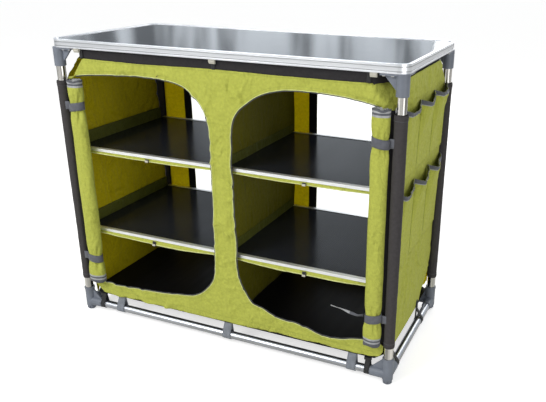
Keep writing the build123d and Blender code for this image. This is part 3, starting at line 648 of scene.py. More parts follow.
# %% Front wall
front_folds = [
    ((440, 722), (330, 738), 6, -3.5), ((434, 727), (345, 748), 5, 3.0),
    ((446, 707), (386, 713), 3.4, 2.6), ((448, 714), (392, 719), 3.4, -2.6),
    ((448, 720), (384, 727), 3.4, 2.6), ((430, 735), (380, 740), 4, -2.5),
    ((448, 726), (396, 733), 3.0, -2.4), ((446, 732), (404, 737), 3.0, 2.4),
    ((440, 738), (360, 752), 4.0, -2.6), ((420, 744), (330, 755), 4.0, 2.4),
    ((-6, 690), (-60, 735), 11, 3.0), ((40, 690), (120, 742), 11, -3.0),
    ((20, 640), (26, 500), 12, 3.0), ((10, 420), (40, 330), 10, -2.6),
    ((0, 330), (30, 230), 9, 2.8), ((-150, 742), (-260, 748), 8, 3.0),
    ((-300, 735), (-200, 742), 8, -2.6), ((230, 742), (330, 746), 8, 3.0),
    ((-60, 120), (-10, 76), 9, 3.0), ((30, 110), (10, 76), 8, -3.0),
    ((-230, 96), (-300, 72), 8, -2.6), ((-380, 98), (-440, 80), 7, 3.0),
    ((420, 104), (440, 80), 7, -3.0), ((-436, 712), (-330, 742), 6, -2.5),
    ((-432, 710), (-300, 728), 6, 2.0), ((-60, 700), (10, 735), 8, 2.0),
    ((90, 690), (20, 728), 8, 2.0), ((60, 180), (10, 120), 9, -3.0),
    ((-30, 190), (15, 110), 9, 2.5), ((120, 128), (60, 80), 9, 3.0),
    ((200, 112), (150, 82), 8, -2.5), ((290, 92), (330, 70), 9, -2.5),
    ((-150, 114), (-210, 72), 9, 2.0), ((14, 650), (18, 250), 11, -2.2),
    ((-30, 632), (44, 628), 4, -3.0), ((12, 560), (-22, 600), 5, -2.6),
    ((14, 560), (42, 592), 5, -2.6), ((16, 300), (-12, 268), 5, -2.6),
    ((40, 262), (-16, 236), 5, -3.0), ((48, 214), (-24, 196), 5, -3.0),
    ((58, 180), (-30, 172), 5, -2.6), ((20, 150), (0, 84), 6, -3.0),
    ((-60, 136), (-20, 104), 6, -2.6), ((-4, 500), (2, 180), 8, 1.8),
    ((34, 480), (30, 300), 6, 1.6),
]
band_seam_z = 0.757
fold_start = Vector((402, 762)) * mm
fold_out = Vector((56, 40)).normalized()


def front_place(x, z):
    """Where a point of the front cut hangs: slack, creases and the corner folded back."""
    y = front_y + slack(x, 0, z, 0.0042) + slack(x, 3, z, 0.0022, 0.035)
    y += sum(fold(x, z, *f) for f in front_folds)
    proud = crease(x, z, 1, 0.0065) + crease(-x, z, 2, 0.0050, 0.055)
    y -= proud * within((band_seam_z - z) / 0.02)
    beyond = max(0.0, (Vector((x, z)) - fold_start).dot(fold_out))
    return Vector((x - beyond * 0.30, y + beyond * 1.5, z))


door_cloths = [lime_cloth, lime_inside, zip_tape, silver_thread]
front_wall = cut_cloth("front_wall", [front_cut], front_place, door_cloths, 0.0055)
print("front wall faces:", len(front_wall.data.polygons), "cut area", front_wall["cut_area"])

# %% [markdown]
# ## Back wall and windows
#
# The back is the same cut with a tall window in each half. A dark binding frames each window
# on the inside, where it shows through the front openings.

# %% Back wall
binding_low, binding_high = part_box("window_binding")
binding_w = 0.026
window_r = 0.035
window_mid = 0.076
window_low_z, window_high_z = binding_low.z + binding_w, binding_high.z - binding_w
windows = {
    "l": (binding_low.x + binding_w, divider_x - window_mid),
    "r": (divider_x + window_mid, binding_high.x - binding_w),
}


def window_loop(low_x, high_x, grow=0.0):
    """A window's rounded outline, or one that lies outside it by grow."""
    left, right = low_x + window_r, high_x - window_r
    bottom, top = window_low_z + window_r, window_high_z - window_r
    loop = []
    for x, z, start in ((right, top, 0), (left, top, 90), (left, bottom, 180), (right, bottom, 270)):
        for turn in range(start, start + 91, 15):
            angle, reach = math.radians(turn), window_r + grow
            loop.append(Vector((x + reach * math.cos(angle), z + reach * math.sin(angle))))
    return loop


back_cut = outline(
    [(396, 760)],
    [(435, 704), (458.5, 689)],
    [(460.5, 107), (460.5, 88)],
    [(425, 66), (200, 62.5), (0, 63.5), (-200, 62.5), (-425, 66), (-460.5, 88)],
    [(-460.5, 107), (-458.5, 689)],
    [(-435, 704), (-396, 760)],
)


def back_place(x, z, forward=0.0):
    return Vector((x, back_y + slack(x, 8, z, 0.003) - forward, z))


def binding_place(x, z):
    return back_place(x, z, 0.0015)


back_loops = [back_cut, *[window_loop(*ends) for ends in windows.values()]]
back_wall = cut_cloth(
    "back_wall", back_loops, back_place, [lime_cloth, mustard_and_painted_backlight], 0.012, flip=True
)
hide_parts("back_panel")
for side, ends in windows.items():
    loops = [window_loop(*ends, binding_w), window_loop(*ends)]
    piece = cut_cloth("window_binding_" + side, loops, binding_place, [binding_cloth], 0.012)
    piece["flat"] = (piece["cut_area"] / binding_w, binding_w)
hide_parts("window_binding")

# %% [markdown]
# ## Side walls and divider
#
# These are plain cuts. The walls' lower corners are cut away for the straps, and slack noise
# keeps the big flat areas from looking like board. Creases run up the right wall from its
# straps and down from its rear corner. Near the hem the cloth is pulled straight, so that it
# stays on the edge of the cabinet's floor. Behind the pockets it lies flat.

# %% Side walls
side_cuts = {
    "right": outline(
        [(108, 772)],
        [(185, 712), (196, 697)],
        [(196, 170)],
        [(150, 128), (98, 65)],
        [(-40, 63.5), (-180, 65)],
        [(-196, 100), (-196, 697)],
        [(-185, 712), (-168, 772)],
    ),
    "left": outline(
        [(168, 772)],
        [(185, 712), (196, 697)],
        [(196, 100), (180, 65)],
        [(-40, 63.5), (-180, 65)],
        [(-196, 100), (-196, 697)],
        [(-185, 712), (-108, 772)],
    ),
}
wall_folds = [
    ((150, 130), (60, 330), 12, 3.0), ((120, 100), (-30, 300), 11, -3.0),
    ((90, 75), (-90, 250), 12, 2.6), ((-150, 80), (-100, 300), 12, -2.4),
    ((-110, 72), (-140, 330), 10, 2.2), ((185, 690), (60, 560), 12, -3.0),
    ((180, 660), (90, 470), 11, 3.0), ((-170, 730), (-60, 600), 12, -2.4),
    ((-180, 690), (-120, 520), 10, 2.4), ((100, 740), (0, 640), 12, 2.4),
    ((20, 380), (-60, 200), 14, 2.6), ((100, 400), (40, 250), 12, -2.2),
    ((-60, 400), (-150, 260), 12, 2.2),
]
pocket_boxes = {"upper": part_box("side_pockets_upper"), "lower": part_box("side_pockets_lower")}
pockets_from, pockets_to = pocket_boxes["lower"][0].z - 0.004, pocket_boxes["upper"][1].z + 0.004
deepest_dent = -0.0022


def wall_bulge(side, y, z):
    """How far a side wall's cloth stands outside its plane, before it is pulled straight."""
    x = slack(side * 5, y, z, 0.0042) + slack(side * 9, y, z, 0.0016, 0.045)
    x = max(deepest_dent, x + sum(fold(side * y, z, *f) for f in wall_folds))
    if side > 0 and pockets_from <= z <= pockets_to:
        return min(0.001, x)
    return x + crease(y, z, 3, 0.0075) + crease(-y * 1.5, z * 0.7, 4, 0.0065, 0.06)


for name, side in reversed(sides):

    def wall_place(y, z):
        loose = min(1.0, max(0.0, (z - floor_high.z) / 0.12), max(0.0, (0.79 - z) / 0.06))
        return Vector((side * (wall_x(z) + wall_bulge(side, y, z) * loose), y, z))

    lined = [lime_cloth, lime_inside]
    wall = cut_cloth("side_wall_" + name, [side_cuts[name]], wall_place, lined, 0.006, side < 0)
    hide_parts("side_panel_" + name)
    print("side wall", name, "cut area", round(wall["cut_area"], 3))

# %% Divider
divider_low, divider_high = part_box("divider_panel")
fore, aft, top = divider_low.y / mm, divider_high.y / mm, divider_high.z / mm
divider_corners = [(aft, top), (aft, 80), (aft - 3, 69), (fore + 3, 69), (fore, 80), (fore, top)]
divider_cut = outline(*[[corner] for corner in divider_corners])


def divider_place(y, z):
    return Vector((divider_x + slack(14, y, z, 0.003) + slack(15, y, z, 0.001, 0.04), y, z))


divider = cut_cloth("divider", [divider_cut], divider_place, [divider_painted_shade], 0.012)
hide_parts("divider_panel")

# %% [markdown]
# Under the stiff floor board the cloth closes the cabinet. It is a flat dark cut that reaches
# the walls, so no light comes in round the board's edges.

# %% Cloth under the floor board
reach_x, reach_y = wall_x(floor_low.z) / mm, abs(front_y) / mm - 0.5
floor_corners = [
    (reach_x - 26, -reach_y), (reach_x, -reach_y + 40),
    (reach_x, reach_y - 90), (reach_x - 50, reach_y),
    (-reach_x + 26, reach_y), (-reach_x, reach_y - 40),
    (-reach_x, -reach_y + 40), (-reach_x + 26, -reach_y),
]
floor_cut = outline(*[[corner] for corner in floor_corners])


def floor_place(x, y):
    return Vector((x, y, floor_low.z - 0.0009 - abs(slack(x, y, 3, 0.0008))))


floor_cloth = cut_cloth("floor_cloth", [floor_cut], floor_place, [binding_cloth], 0.03)

# %% [markdown]
# ## Shelf slings
#
# Each board lies in a cloth sling. Below the board's bright front edge its hem shows as a thin
# green lip that sags to the middle, where a strap and a pale hook hold it. On the outer wall
# and on the divider the sling turns up as a band, darker than the wall, with a green edge.

# %% Shape of a sling
shelves = [(level, *side) for level in ("upper", "lower") for side in sides]
hem_lip = 0.0045
hem_rows = 5


def sling_rows(low, high, inner, outer, under):
    """From the hem under the board's front edge back along its underside, in rows of points."""
    step = (high.y - low.y - 0.011) / 5
    rows = []
    for i in range(11):
        row = []
        for j in range(61):
            t = j / 60
            x = inner + (outer - inner) * t
            sag = math.sin(math.pi * t) ** 1.4
            sag *= 1 + 0.25 * math.sin(9 * t + 2 * low.x)
            lip = hem_lip + (under - low.z - hem_lip) * sag
            down = min(under - low.z, lip) * max(0.0, (hem_rows - i) / hem_rows)
            ripple = slack(x, 7, under, 0.0022, 0.05) * math.sin(math.pi * t)
            y = low.y + 0.0006 + (0.0012 * i if i <= hem_rows else 0.008 + (i - hem_rows) * step)
            row.append(Vector((x, y + ripple * (i < hem_rows), under - down)))
        rows.append(row)
    return rows


def band_rows(where, side, under, top):
    """The sling's upturned edge, on the outer wall or on the divider."""
    rows = []
    for i in range(7):
        z = under + (top - under) * i / 6
        row = []
        for y in np.linspace(-0.196, 0.196, 44):
            off = 0.0042 - slack(side * i * 0.2, y, z, 0.001, 0.06)
            x = side * (wall_x(z) - off) if where == "wall" else divider_x + side * off
            row.append(Vector((x, y, z)))
        rows.append(row)
    return rows


# %% Shelf slings
slings, sling_bands = [], []
for level, name, side in shelves:
    shelf = "{}_{}".format(level, name)
    low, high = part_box("shelf_sling_" + shelf)
    board_low, board_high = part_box("shelf_board_" + shelf)
    under = board_low.z - 0.0015 - cloth_t / 2
    inner, outer = (low.x, board_high.x) if side > 0 else (high.x, board_low.x)
    slings.append(
        grid_cloth(
            "sling_" + shelf,
            sling_rows(low, high, inner, outer, under),
            [lime_cloth, pale_thread],
            choose=lambda a, b: int(a < 0.08),
        )
    )
    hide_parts("shelf_sling_" + shelf)
    for where, top in (("wall", high.z), ("divider", high.z - 0.006)):
        sling_bands.append(
            grid_cloth(
                "sling_band_{}_{}".format(shelf, where),
                band_rows(where, side, under, top),
                [olive_cloth, lime_cloth],
                choose=lambda a, b: int(a > 0.93),
            )
        )
print("slings:", len(slings), "bands:", len(sling_bands))

# %% [markdown]
# ## Rolled doors
#
# A door is a sheet rolled inwards from its free edge. Here it really is a spiral of cloth, so
# its ends show the turns. Two straps pinch it: near them the radius shrinks and the cloth
# puckers, and between them it swells. Zip tape is sewn to the sheet's top and bottom edges,
# and shows as a stack of grey rings there.


# %% Shape of a roll
def hump(distance, width):
    """A smooth bump of height 1 at distance 0."""
    return math.exp(-((distance / width) ** 2))


def roll_share(angle, z, low, high, phase):
    """How much wider or narrower the roll is there, as a share of its full size."""
    cos, sin = math.cos(angle), math.sin(angle)
    share = 1.0 + 0.03 * math.sin(2.0 * angle + 7.0 * z + phase)
    share += 0.06 * noise.noise(Vector((cos, sin, z * 9 + phase)))
    share += 0.02 * noise.noise(Vector((3 * cos, 3 * sin, z * 30)))
    facing = 1.24 if phase > 0 else 2.32
    for tie in tie_heights:
        beyond = z - tie
        pucker = hump(abs(beyond) - 0.030, 0.024)
        share -= 0.17 * hump(beyond, 0.022)
        share += 0.11 * pucker * (abs(math.sin(2.5 * angle + phase + 22 * beyond)) - 0.6)
        for turn, reach, width, deep in ((0.1, 0.046, 0.24, 0.36), (-0.6, 0.036, 0.20, 0.26)):
            if 0.009 < abs(beyond) < reach:
                off = math.remainder(angle - facing - turn - 6 * beyond, 2 * math.pi)
                run = (abs(beyond) - 0.009) / (reach - 0.009)
                share -= deep * math.sin(math.pi * run**0.6) * hump(off, width)
    if phase < 0:
        share += 0.22 * max(0.0, 1 - (z - low) / 0.05)
    swell = 0.03 * math.sin(math.pi * (z - low) / (high - low)) - 0.02
    return share + swell + 0.12 * hump(z - low - 0.042, 0.026)


turns = 4
steps_a_turn = 32
tape_end = 0.022
tie_low, tie_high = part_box("door_ties")
tie_w = 0.022
tie_heights = (tie_low.z + tie_w / 2, tie_high.z - tie_w / 2)


def roll_size(name):
    """A roll's box, and its middle and half sizes, moved and scaled a little to the picture."""
    low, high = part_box("door_roll_" + name)
    centre, half = (low + high) / 2, (high - low) / 2
    centre.x += 0.0075 if centre.x > 0 else -0.0002
    half.x *= 0.96 if centre.x > 0 else 1.02
    return low, high, centre, half


def roll_rows(low, high, centre, half, side):
    """Rows of points, each one a spiral from the roll's middle outwards."""
    top = high.z + (0.0125 if side > 0 else 0.006)
    steps = turns * steps_a_turn
    rows = []
    for z in np.linspace(low.z + 0.0006, top, 125):
        end = min(z - low.z, top - z)
        up_or_down = -1 if z > centre.z else 1
        flare = 0.05 * hump(end, 0.006) - 0.03 * hump(end - 0.009, 0.003)
        row = []
        for j in range(steps + 1):
            angle = 2 * math.pi * j / steps_a_turn - math.pi / 2
            wound = 0.16 + 0.84 * j / steps
            reach = wound * roll_share(angle, z, low.z, high.z, 2.0 * side)
            reach = min(1.03, reach + flare) * 0.965
            wave = 0.0022 * math.sin(3 * angle - 4.0 * side * up_or_down)
            lift = max(0.0, 0.007 * (1 - wound) + wave) * (end < 0.008)
            x = centre.x + side * reach * half.x * math.cos(angle)
            y = centre.y - reach * half.y * math.sin(angle)
            row.append(Vector((x, y, z + up_or_down * lift)))
        rows.append(row[::-side])
    return rows


# %% Rolled doors
rolls = []
for name, side in sides:
    low, high, centre, half = roll_size(name)
    length = high.z - low.z

    def tape_ring(a, b):
        """Grey tape at both ends of the roll, with a bright edge in it."""
        end = min(a, 1 - a) * length
        return 0 if end > tape_end else 3 if 0.009 < end < 0.012 or end > 0.019 else 2

    rows = roll_rows(low, high, centre, half, side)
    rolls.append(grid_cloth("rolled_door_" + name, rows, door_cloths, choose=tape_ring))
print("rolled doors:", [len(r.data.polygons) for r in rolls])

# %% [markdown]
# On the real cupboard a door is one cloth with the front wall, sewn to it along its outer
# edge. So the three meshes become one piece.

# %% Front wall with its doors
joined = bmesh.new()
for piece in (front_wall, *rolls):
    joined.from_mesh(piece.data)
joined.to_mesh(front_wall.data)
joined.free()
for roll in rolls:
    bpy.data.objects.remove(roll)
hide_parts("front_panel", "door_roll_left", "door_roll_right")
print("front wall and doors:", len(front_wall.data.polygons), "faces")

# %% [markdown]
# ## Sleeves on the legs
#
# Each leg stands in a dark cloth sleeve with a turned hem at both ends. The sleeve is a loose
# tube with long creases, and a flat flange along the seam that joins it to the walls.

# %% Leg sleeves
hem_h = 0.013
sleeve_r_low, sleeve_r_high = 0.0136, 0.0156
flange_ends = {-1: 0.441, 1: 0.459}


def sleeve_radius(z):
    share = (z - sleeve_low.z) / (sleeve_high.z - sleeve_low.z)
    return sleeve_r_low + (sleeve_r_high - sleeve_r_low) * share


def sleeve_ring(sx, sy, z):
    """Points round a leg's sleeve: a plain bead in its hems, soft creases between them."""
    end = min(z - sleeve_low.z, sleeve_high.z - z)
    ring = []
    for j in range(40):
        angle = 2 * math.pi * j / 40
        around = Vector((math.cos(angle), math.sin(angle), 0))
        if end < hem_h:
            ease = 0.0002 + 0.0007 * math.sin(math.pi * min(1.0, end / hem_h)) ** 0.5
        else:
            ease = 0.0007 * noise.noise(around * 2.5 + Vector((sx, sy, z * 5)))
            ease += 0.0004 * noise.noise(around * 3 + Vector((sx, sy, z * 40)))
        ring.append(Vector((sx * leg_x, sy * leg_y, z)) + around * (sleeve_radius(z) + ease))
    return ring


def flange_row(sx, sy, z):
    """Points from a sleeve to the edge of the front or back wall."""
    start = Vector((sx * (leg_x - sleeve_radius(z) * 0.93), sy * (leg_y - 0.005), z))
    stop = Vector((sx * flange_ends[sy], sy * (abs(front_y) + 0.0028), z))
    bow = Vector((0, sy * 0.0012 * noise.noise(Vector((sx, sy, z * 12))), 0))
    return [start.lerp(stop, t / 4) + bow * (0 < t < 4) for t in range(5)]


sleeves = []
for corner, (sx, sy) in corners.items():
    rows = [sleeve_ring(sx, sy, z) for z in np.linspace(sleeve_low.z, sleeve_high.z, 110)]
    sleeve = grid_cloth("sleeve_" + corner, rows, [sleeve_cloth], around=True, offset=-1.0)
    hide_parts("leg_sleeve_" + corner)
    heights = np.linspace(sleeve_low.z + 0.004, sleeve_high.z + 0.007, 60)
    rows = [flange_row(sx, sy, z) for z in heights]
    sleeves += [sleeve, grid_cloth("sleeve_flange_" + corner, rows, [dark_cloth])]
print("sleeves and their flanges:", len(sleeves))

# %% [markdown]
# ## Dark band under the rim
#
# A strip of dark cloth joins the walls to the table's underside. It is one strip on each side.

# %% Top band
band_low, band_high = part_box("top_band")
band_h = band_high.z - band_low.z - 0.0005
for name, sy in (("front", -1), ("back", 1)):
    rows = []
    for t in np.linspace(0, 1, 7):
        half = 0.392 + 0.017 * t
        row = []
        for x in np.linspace(-half, 0.455 if sy < 0 else half, 130):
            hem = front_place(x, band_seam_z) if sy < 0 else back_place(x, band_seam_z)
            behind = max(0.0, abs(hem.y - sy * abs(front_y)) - 0.006)
            top_y = sy * (abs(front_y) - 0.0016 - behind)
            y = (hem.y - sy * 0.0016) * (1 - t) + top_y * t
            row.append(Vector((hem.x, y, band_low.z + band_h * t)))
        rows.append(row)
    grid_cloth("top_band_" + name, rows, [dark_cloth])
for name, sx in sides:
    band_x = sx * (wall_x(0.76) - 0.0034)
    rows = []
    for z in np.linspace(band_low.z, band_low.z + band_h, 5):
        ys = np.linspace(-0.14 + 0.025 * -sx, 0.14 + 0.025 * -sx, 40)
        rows.append([Vector((band_x + slack(sx, y, z, 0.0006, 0.08), y, z)) for y in ys])
    grid_cloth("top_band_" + name, rows, [dark_cloth])
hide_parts("top_band")

# %% [markdown]
# ## Side pockets
#
# Each pocket has a pleat at its front edge, so it stands open there, and a face that slants
# back to the wall behind. Its top edge is bound with grey elastic, piped in silver, which
# draws the mouth into a wave. The binding is its own strip, a little proud of the cloth.

# %% Shape of a pocket
pocket_depths = (0.018, 0.025, 0.024)
pleat = 0.2
binding_h = 0.0125


def pocket_point(low, high, k, u, v, proud=0.0):
    """u runs from the wall round the pleat and back to the wall, v from bottom to top."""
    width = (high.y - low.y) / len(pocket_depths) - 0.0008
    z = low.z + (high.z - low.z) * v
    reach = 0.0015 + (pocket_depths[k] - 0.0015) * v ** (2.2 - 0.4 * k)
    round_y = 0.012 + 0.055 * (1 - v)
    if u < pleat:
        turn = u / pleat * math.pi / 2
        out, along = math.sin(turn), round_y * (1 - math.cos(turn))
    else:
        t = (u - pleat) / (1 - pleat)
        out = (1 - t**2.4) * (1 - 0.20 * math.sin(math.pi * t) * v)
        along = round_y + (width - round_y) * t
    held = min(1.0, 5 * u, 5 * (1 - u))
    ease = slack(k + 20, along, z, 0.004 * v + 0.0012, 0.05) * held
    ease += slack(k + 40, along * 2, z, 0.0012, 0.02) * held
    ease += crease(along + k, z, 5, 0.0048, 0.06) * held
    droop = 0.011 * v**5 * math.sin(math.pi * min(1.0, u * 1.08))
    x = wall_x(z) + 0.0024 + out * (reach + proud) + ease
    return Vector((x, low.y + 0.001 + (width + 0.0004) * k + along, z - droop))


# %% Side pockets
pocket_places = [(row, k, *box) for row, box in pocket_boxes.items() for k in range(3)]
pockets, pocket_trims = [], []
for row, k, low, high in pocket_places:
    label = "{}_{}".format(row, k)
    ways = [j / 48 for j in range(49)]
    rows = [[pocket_point(low, high, k, u, i / 34) for u in ways] for i in range(35)]
    pockets.append(grid_cloth("pocket_" + label, rows, [lime_cloth]))
    rows = []
    for t in np.linspace(0, 1, 7):
        v = 1 - binding_h / (high.z - low.z) * (1 - t)
        proud = 0.0011 * math.sin(math.pi * min(1.0, 0.25 + t * 0.75))
        rows.append([pocket_point(low, high, k, u, v, proud) for u in ways])
    trim_cloths = [grey_strap, silver_thread]
    pocket_trims.append(
        grid_cloth(
            "pocket_binding_" + label, rows, trim_cloths, 0.0026, choose=lambda a, b: int(a < 0.1)
        )
    )
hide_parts("side_pockets_upper")
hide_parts("side_pockets_lower")
print("pockets:", len(pockets), "with bindings:", len(pocket_trims))

# %% [markdown]
# ## Straps
#
# Flat webbing is a ribbon along a path. The path is a list of points where the strap turns,
# rounded off, and the ribbon's width lies square to it.

# %% Ribbons and rings
x_axis, y_axis, up = Vector((1, 0, 0)), Vector((0, 1, 0)), Vector((0, 0, 1))


def ribbon(name, path, across, width, material, thickness=0.0014):
    """A strap along a path; across is the direction of its width."""
    rows = [[p + across * width * (j / 4 - 0.5) for j in range(5)] for p in path]
    return grid_cloth(name, rows, [material], thickness)


def ring_points(centre, axis_a, axis_b, radius, start, stop, count):
    """Points on an arc about the centre from start to stop, in degrees from axis_a to axis_b."""
    points = []
    for angle in np.radians(np.linspace(start, stop, count)):
        points.append(centre + axis_a * radius * math.cos(angle) + axis_b * radius * math.sin(angle))
    return points


# %% Straps round the rails
rail_low, rail_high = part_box("rail_front")
rail_z = middle("rail_front").z
rail_r = (rail_high.z - rail_low.z) / 2
behind_hem = -0.0042


def hanging_strap(name, x, y, outward, along, hang, top, width, material):
    """A strap from a hem, round the rail at x, y and back up. hang is how far outward it hangs."""
    centre = Vector((x, y, rail_z))
    fall, rise = [centre + outward * (hang + t) for t in (0.0008, -0.0008)]
    path = [fall + up * (top - rail_z), fall + up * 0.034]
    path += ring_points(centre, outward, up, rail_r + 0.0011, 35, -215, 15)
    path += [rise + up * 0.034, rise + up * (top - 0.004 - rail_z)]
    return ribbon(name, path, along, width, material)


for end, sy in (("f", -1), ("b", 1)):
    for k, x in enumerate((-0.356, 0.008, 0.378)):
        name = "rail_loop_{}_{}".format(end, k)
        place = (x, sy * leg_y, y_axis * sy, x_axis)
        top = floor_high.z + 0.003
        hanging_strap(name, *place, behind_hem, top, 0.025, rail_strap)
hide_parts("rail_loops")

# %% Straps at the corners
hem_strap_x = 0.421
wall_strap_y = {-1: 0.158, 1: 0.082}
strap_w = 0.014
hem_top, wall_top = floor_high.z + 0.011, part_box("corner_straps")[1].z
on_the_wall = leg_x - wall_x(0.088) - 0.0025
for corner in ("fl", "bl", "fr", "br"):
    sx, sy = corners[corner]
    at_hem = (sx * hem_strap_x, sy * leg_y, y_axis * sy, x_axis, behind_hem, hem_top)
    at_wall = (sx * leg_x, sy * wall_strap_y[sy], x_axis * -sx, y_axis, on_the_wall, wall_top)
    for kind, place in (("hem_strap_", at_hem), ("wall_strap_", at_wall)):
        hanging_strap(kind + corner, *place, strap_w, black_strap)
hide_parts("corner_straps")

# %% [markdown]
# The straps round the rolled doors are flat rings that follow the roll's own shape, with a
# tab sewn to the leg sleeve.

# %% Door ties
for name, side in sides:
    low, high, centre, half = roll_size(name)
    for k, z in enumerate(tie_heights):
        rows = []
        for dz in np.linspace(-tie_w / 2, tie_w / 2, 5):
            row = []
            for j in range(40):
                cos, sin = math.cos(2 * math.pi * j / 40), math.sin(2 * math.pi * j / 40)
                share = 0.97 * (0.885 + 0.02 * noise.noise(Vector((cos, sin, z * 50))))
                slant = 0.003 * cos * (-1) ** k
                x = centre.x + side * half.x * share * cos
                row.append(Vector((x, centre.y - half.y * share * sin, z + dz + slant)))
            rows.append(row)
        label = "{}_{}".format(name, k)
        grid_cloth("door_tie_" + label, rows, [grey_strap], 0.0018, around=True)
        edge = centre.x + side * half.x * 0.86
        path = [Vector((edge + side * t, centre.y, z)) for t in (0.0, 0.006, 0.012, 0.018)]
        ribbon("tie_tab_" + label, path, up, tie_w, grey_strap, 0.0016)
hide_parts("door_ties")

# %% [markdown]
# The lower right tie has a long tail that has blown into the compartment. It is a narrow
# ribbon on a smooth line, which thins to its end, and its inner half is pale.

# %% Tail of the lower right tie
tail = [(409, -226, 188), (396, -236, 190), (380, -238, 194), (352, -233, 197), (322, -229, 198)]
tail = [Vector(p) * mm for p in tail]
pale_from_x = 0.375
rows = []
for i in range(33):
    t = i / 32 * (len(tail) - 1)
    k = min(int(t), len(tail) - 2)
    centre = tail[k].lerp(tail[k + 1], t - k)
    half = up * (0.0035 - 0.0022 * max(0, i - 12) / 20)
    lean = Vector((0, 0.002 * math.sin(i * 0.3), 0))
    rows.append([centre - half + lean, centre, centre + half - lean])
tie_tail = grid_cloth("tie_tail", rows, [grey_strap, silver_thread], 0.0009)
for face in tie_tail.data.polygons:
    face.material_index = int(face.center.x < pale_from_x)

# %% [markdown]
# Small straps under the shelves' front edges and the elastics under the hooks are short runs
# of the same ribbon.


# %% Shelf straps and elastics
def short_strap(name, x, y, low_z, high_z, count):
    path = [Vector((x, y, z)) for z in np.linspace(low_z, high_z, count)]
    return ribbon(name, path, x_axis, 0.010, black_strap)


shelf_straps, elastics = [], []
for level, name, side in shelves:
    shelf = "{}_{}".format(level, name)
    board_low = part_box("shelf_board_" + shelf)[0]
    sling_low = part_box("shelf_sling_" + shelf)[0]
    ends = (sling_low.z - 0.001, board_low.z - 0.003, 4)
    place = (middle("shelf_board_" + shelf).x, sling_low.y - 0.0008)
    shelf_straps.append(short_strap("shelf_strap_" + shelf, *place, *ends))
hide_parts("shelf_straps")
elastic_low, elastic_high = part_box("clip_elastics")
for end, sy in (("f", -1), ("b", 1)):
    for k, x in enumerate((-0.398, 0.003, 0.398)):
        place = (x, sy * (elastic_high.y - 0.0007), elastic_low.z, elastic_high.z)
        elastics.append(short_strap("elastic_{}_{}".format(end, k), *place, 6))
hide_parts("clip_elastics")
print("shelf straps:", len(shelf_straps), "elastics:", len(elastics))

# %% [markdown]
# ## Zips
#
# Half a zip runs round each opening: a dark tape behind the cloth's edge, and a row of grey
# teeth. Tape and pale piping are ribbons along the opening's outline. Teeth repeat, so
# Geometry Nodes set them: a curve is resampled at the tooth pitch and carries one small box
# on each point.


# %% Things that repeat along a path
def path_curve(name, points, closed):
    """A curve object through the points, with straight stretches."""
    curve = bpy.data.curves.new(name, "CURVE")
    curve.dimensions = "3D"
    spline = curve.splines.new("POLY")
    spline.points.add(len(points) - 1)
    for target, p in zip(spline.points, points):
        target.co = (*p, 1)
    spline.use_cyclic_u = closed
    return place_in_scene(name, curve)


def repeat_tree(name, material):
    """Geometry Nodes that set a box of some Size at each Pitch along a curve."""
    tree = bpy.data.node_groups.new(name, "GeometryNodeTree")
    for label, kind in (("Geometry", "Geometry"), ("Pitch", "Float"), ("Size", "Vector")):
        tree.interface.new_socket(label, in_out="INPUT", socket_type="NodeSocket" + kind)
    tree.interface.new_socket("Geometry", in_out="OUTPUT", socket_type="NodeSocketGeometry")
    node, link = tree.nodes.new, tree.links.new
    entry, leave = node("NodeGroupInput"), node("NodeGroupOutput")
    resample = node("GeometryNodeResampleCurve")
    resample.mode = "LENGTH"
    tangent = node("GeometryNodeInputTangent")
    turn = node("FunctionNodeAlignEulerToVector")
    turn.axis = "X"
    box = node("GeometryNodeMeshCube")
    place = node("GeometryNodeInstanceOnPoints")
    solid = node("GeometryNodeRealizeInstances")
    paint = node("GeometryNodeSetMaterial")
    paint.inputs["Material"].default_value = material
    link(entry.outputs["Geometry"], resample.inputs["Curve"])
    link(entry.outputs["Pitch"], resample.inputs["Length"])
    link(entry.outputs["Size"], box.inputs["Size"])
    link(resample.outputs["Curve"], place.inputs["Points"])
    link(box.outputs["Mesh"], place.inputs["Instance"])
    link(tangent.outputs["Tangent"], turn.inputs["Vector"])
    link(turn.outputs["Rotation"], place.inputs["Rotation"])
    link(place.outputs["Instances"], solid.inputs["Geometry"])
    link(solid.outputs["Geometry"], paint.inputs["Geometry"])
    link(paint.outputs["Geometry"], leave.inputs["Geometry"])
    return tree


def along_path(name, points, pitch, size, material, closed=False):
    """Small boxes of the given size along a line of points, as one plain mesh."""
    carrier = path_curve(name + "_path", points, closed)
    modifier = carrier.modifiers.new("repeat", "NODES")
    modifier.node_group = repeat_tree(name + "_tree", material)
    interface = modifier.node_group.interface.items_tree
    sockets = {s.name: s.identifier for s in interface if s.in_out == "INPUT"}
    modifier[sockets["Pitch"]] = pitch
    modifier[sockets["Size"]] = size
    bpy.context.view_layer.update()
    evaluated = carrier.evaluated_get(bpy.context.evaluated_depsgraph_get())
    mesh = bpy.data.meshes.new_from_object(evaluated)
    mesh.materials.clear()
    mesh.materials.append(material)
    mesh.polygons.foreach_set("material_index", [0] * len(mesh.polygons))
    bpy.data.objects.remove(carrier)
    return place_in_scene(name, mesh)


# %% Zip tapes, teeth and piping
def mouth_line(edge, inset):
    """An opening's edge, from points in millimetres, moved into the opening by inset."""
    line = curve_through(edge, 0.006)
    moved = []
    for a, b, c in zip(line[:1] + line, line, line[1:] + line[-1:]):
        side = (c - a).normalized()
        moved.append(b + Vector((side.y, -side.x)) * inset)
    return [p for p in moved if abs(p.x) < 0.425]


def along_mouth(edge, insets, back):
    """Rows of points beside an opening's edge, on the front wall and moved back from it."""
    lines = [mouth_line(edge, inset) for inset in insets]
    return [[front_place(*p) + y_axis * back for p in points] for points in zip(*lines)]


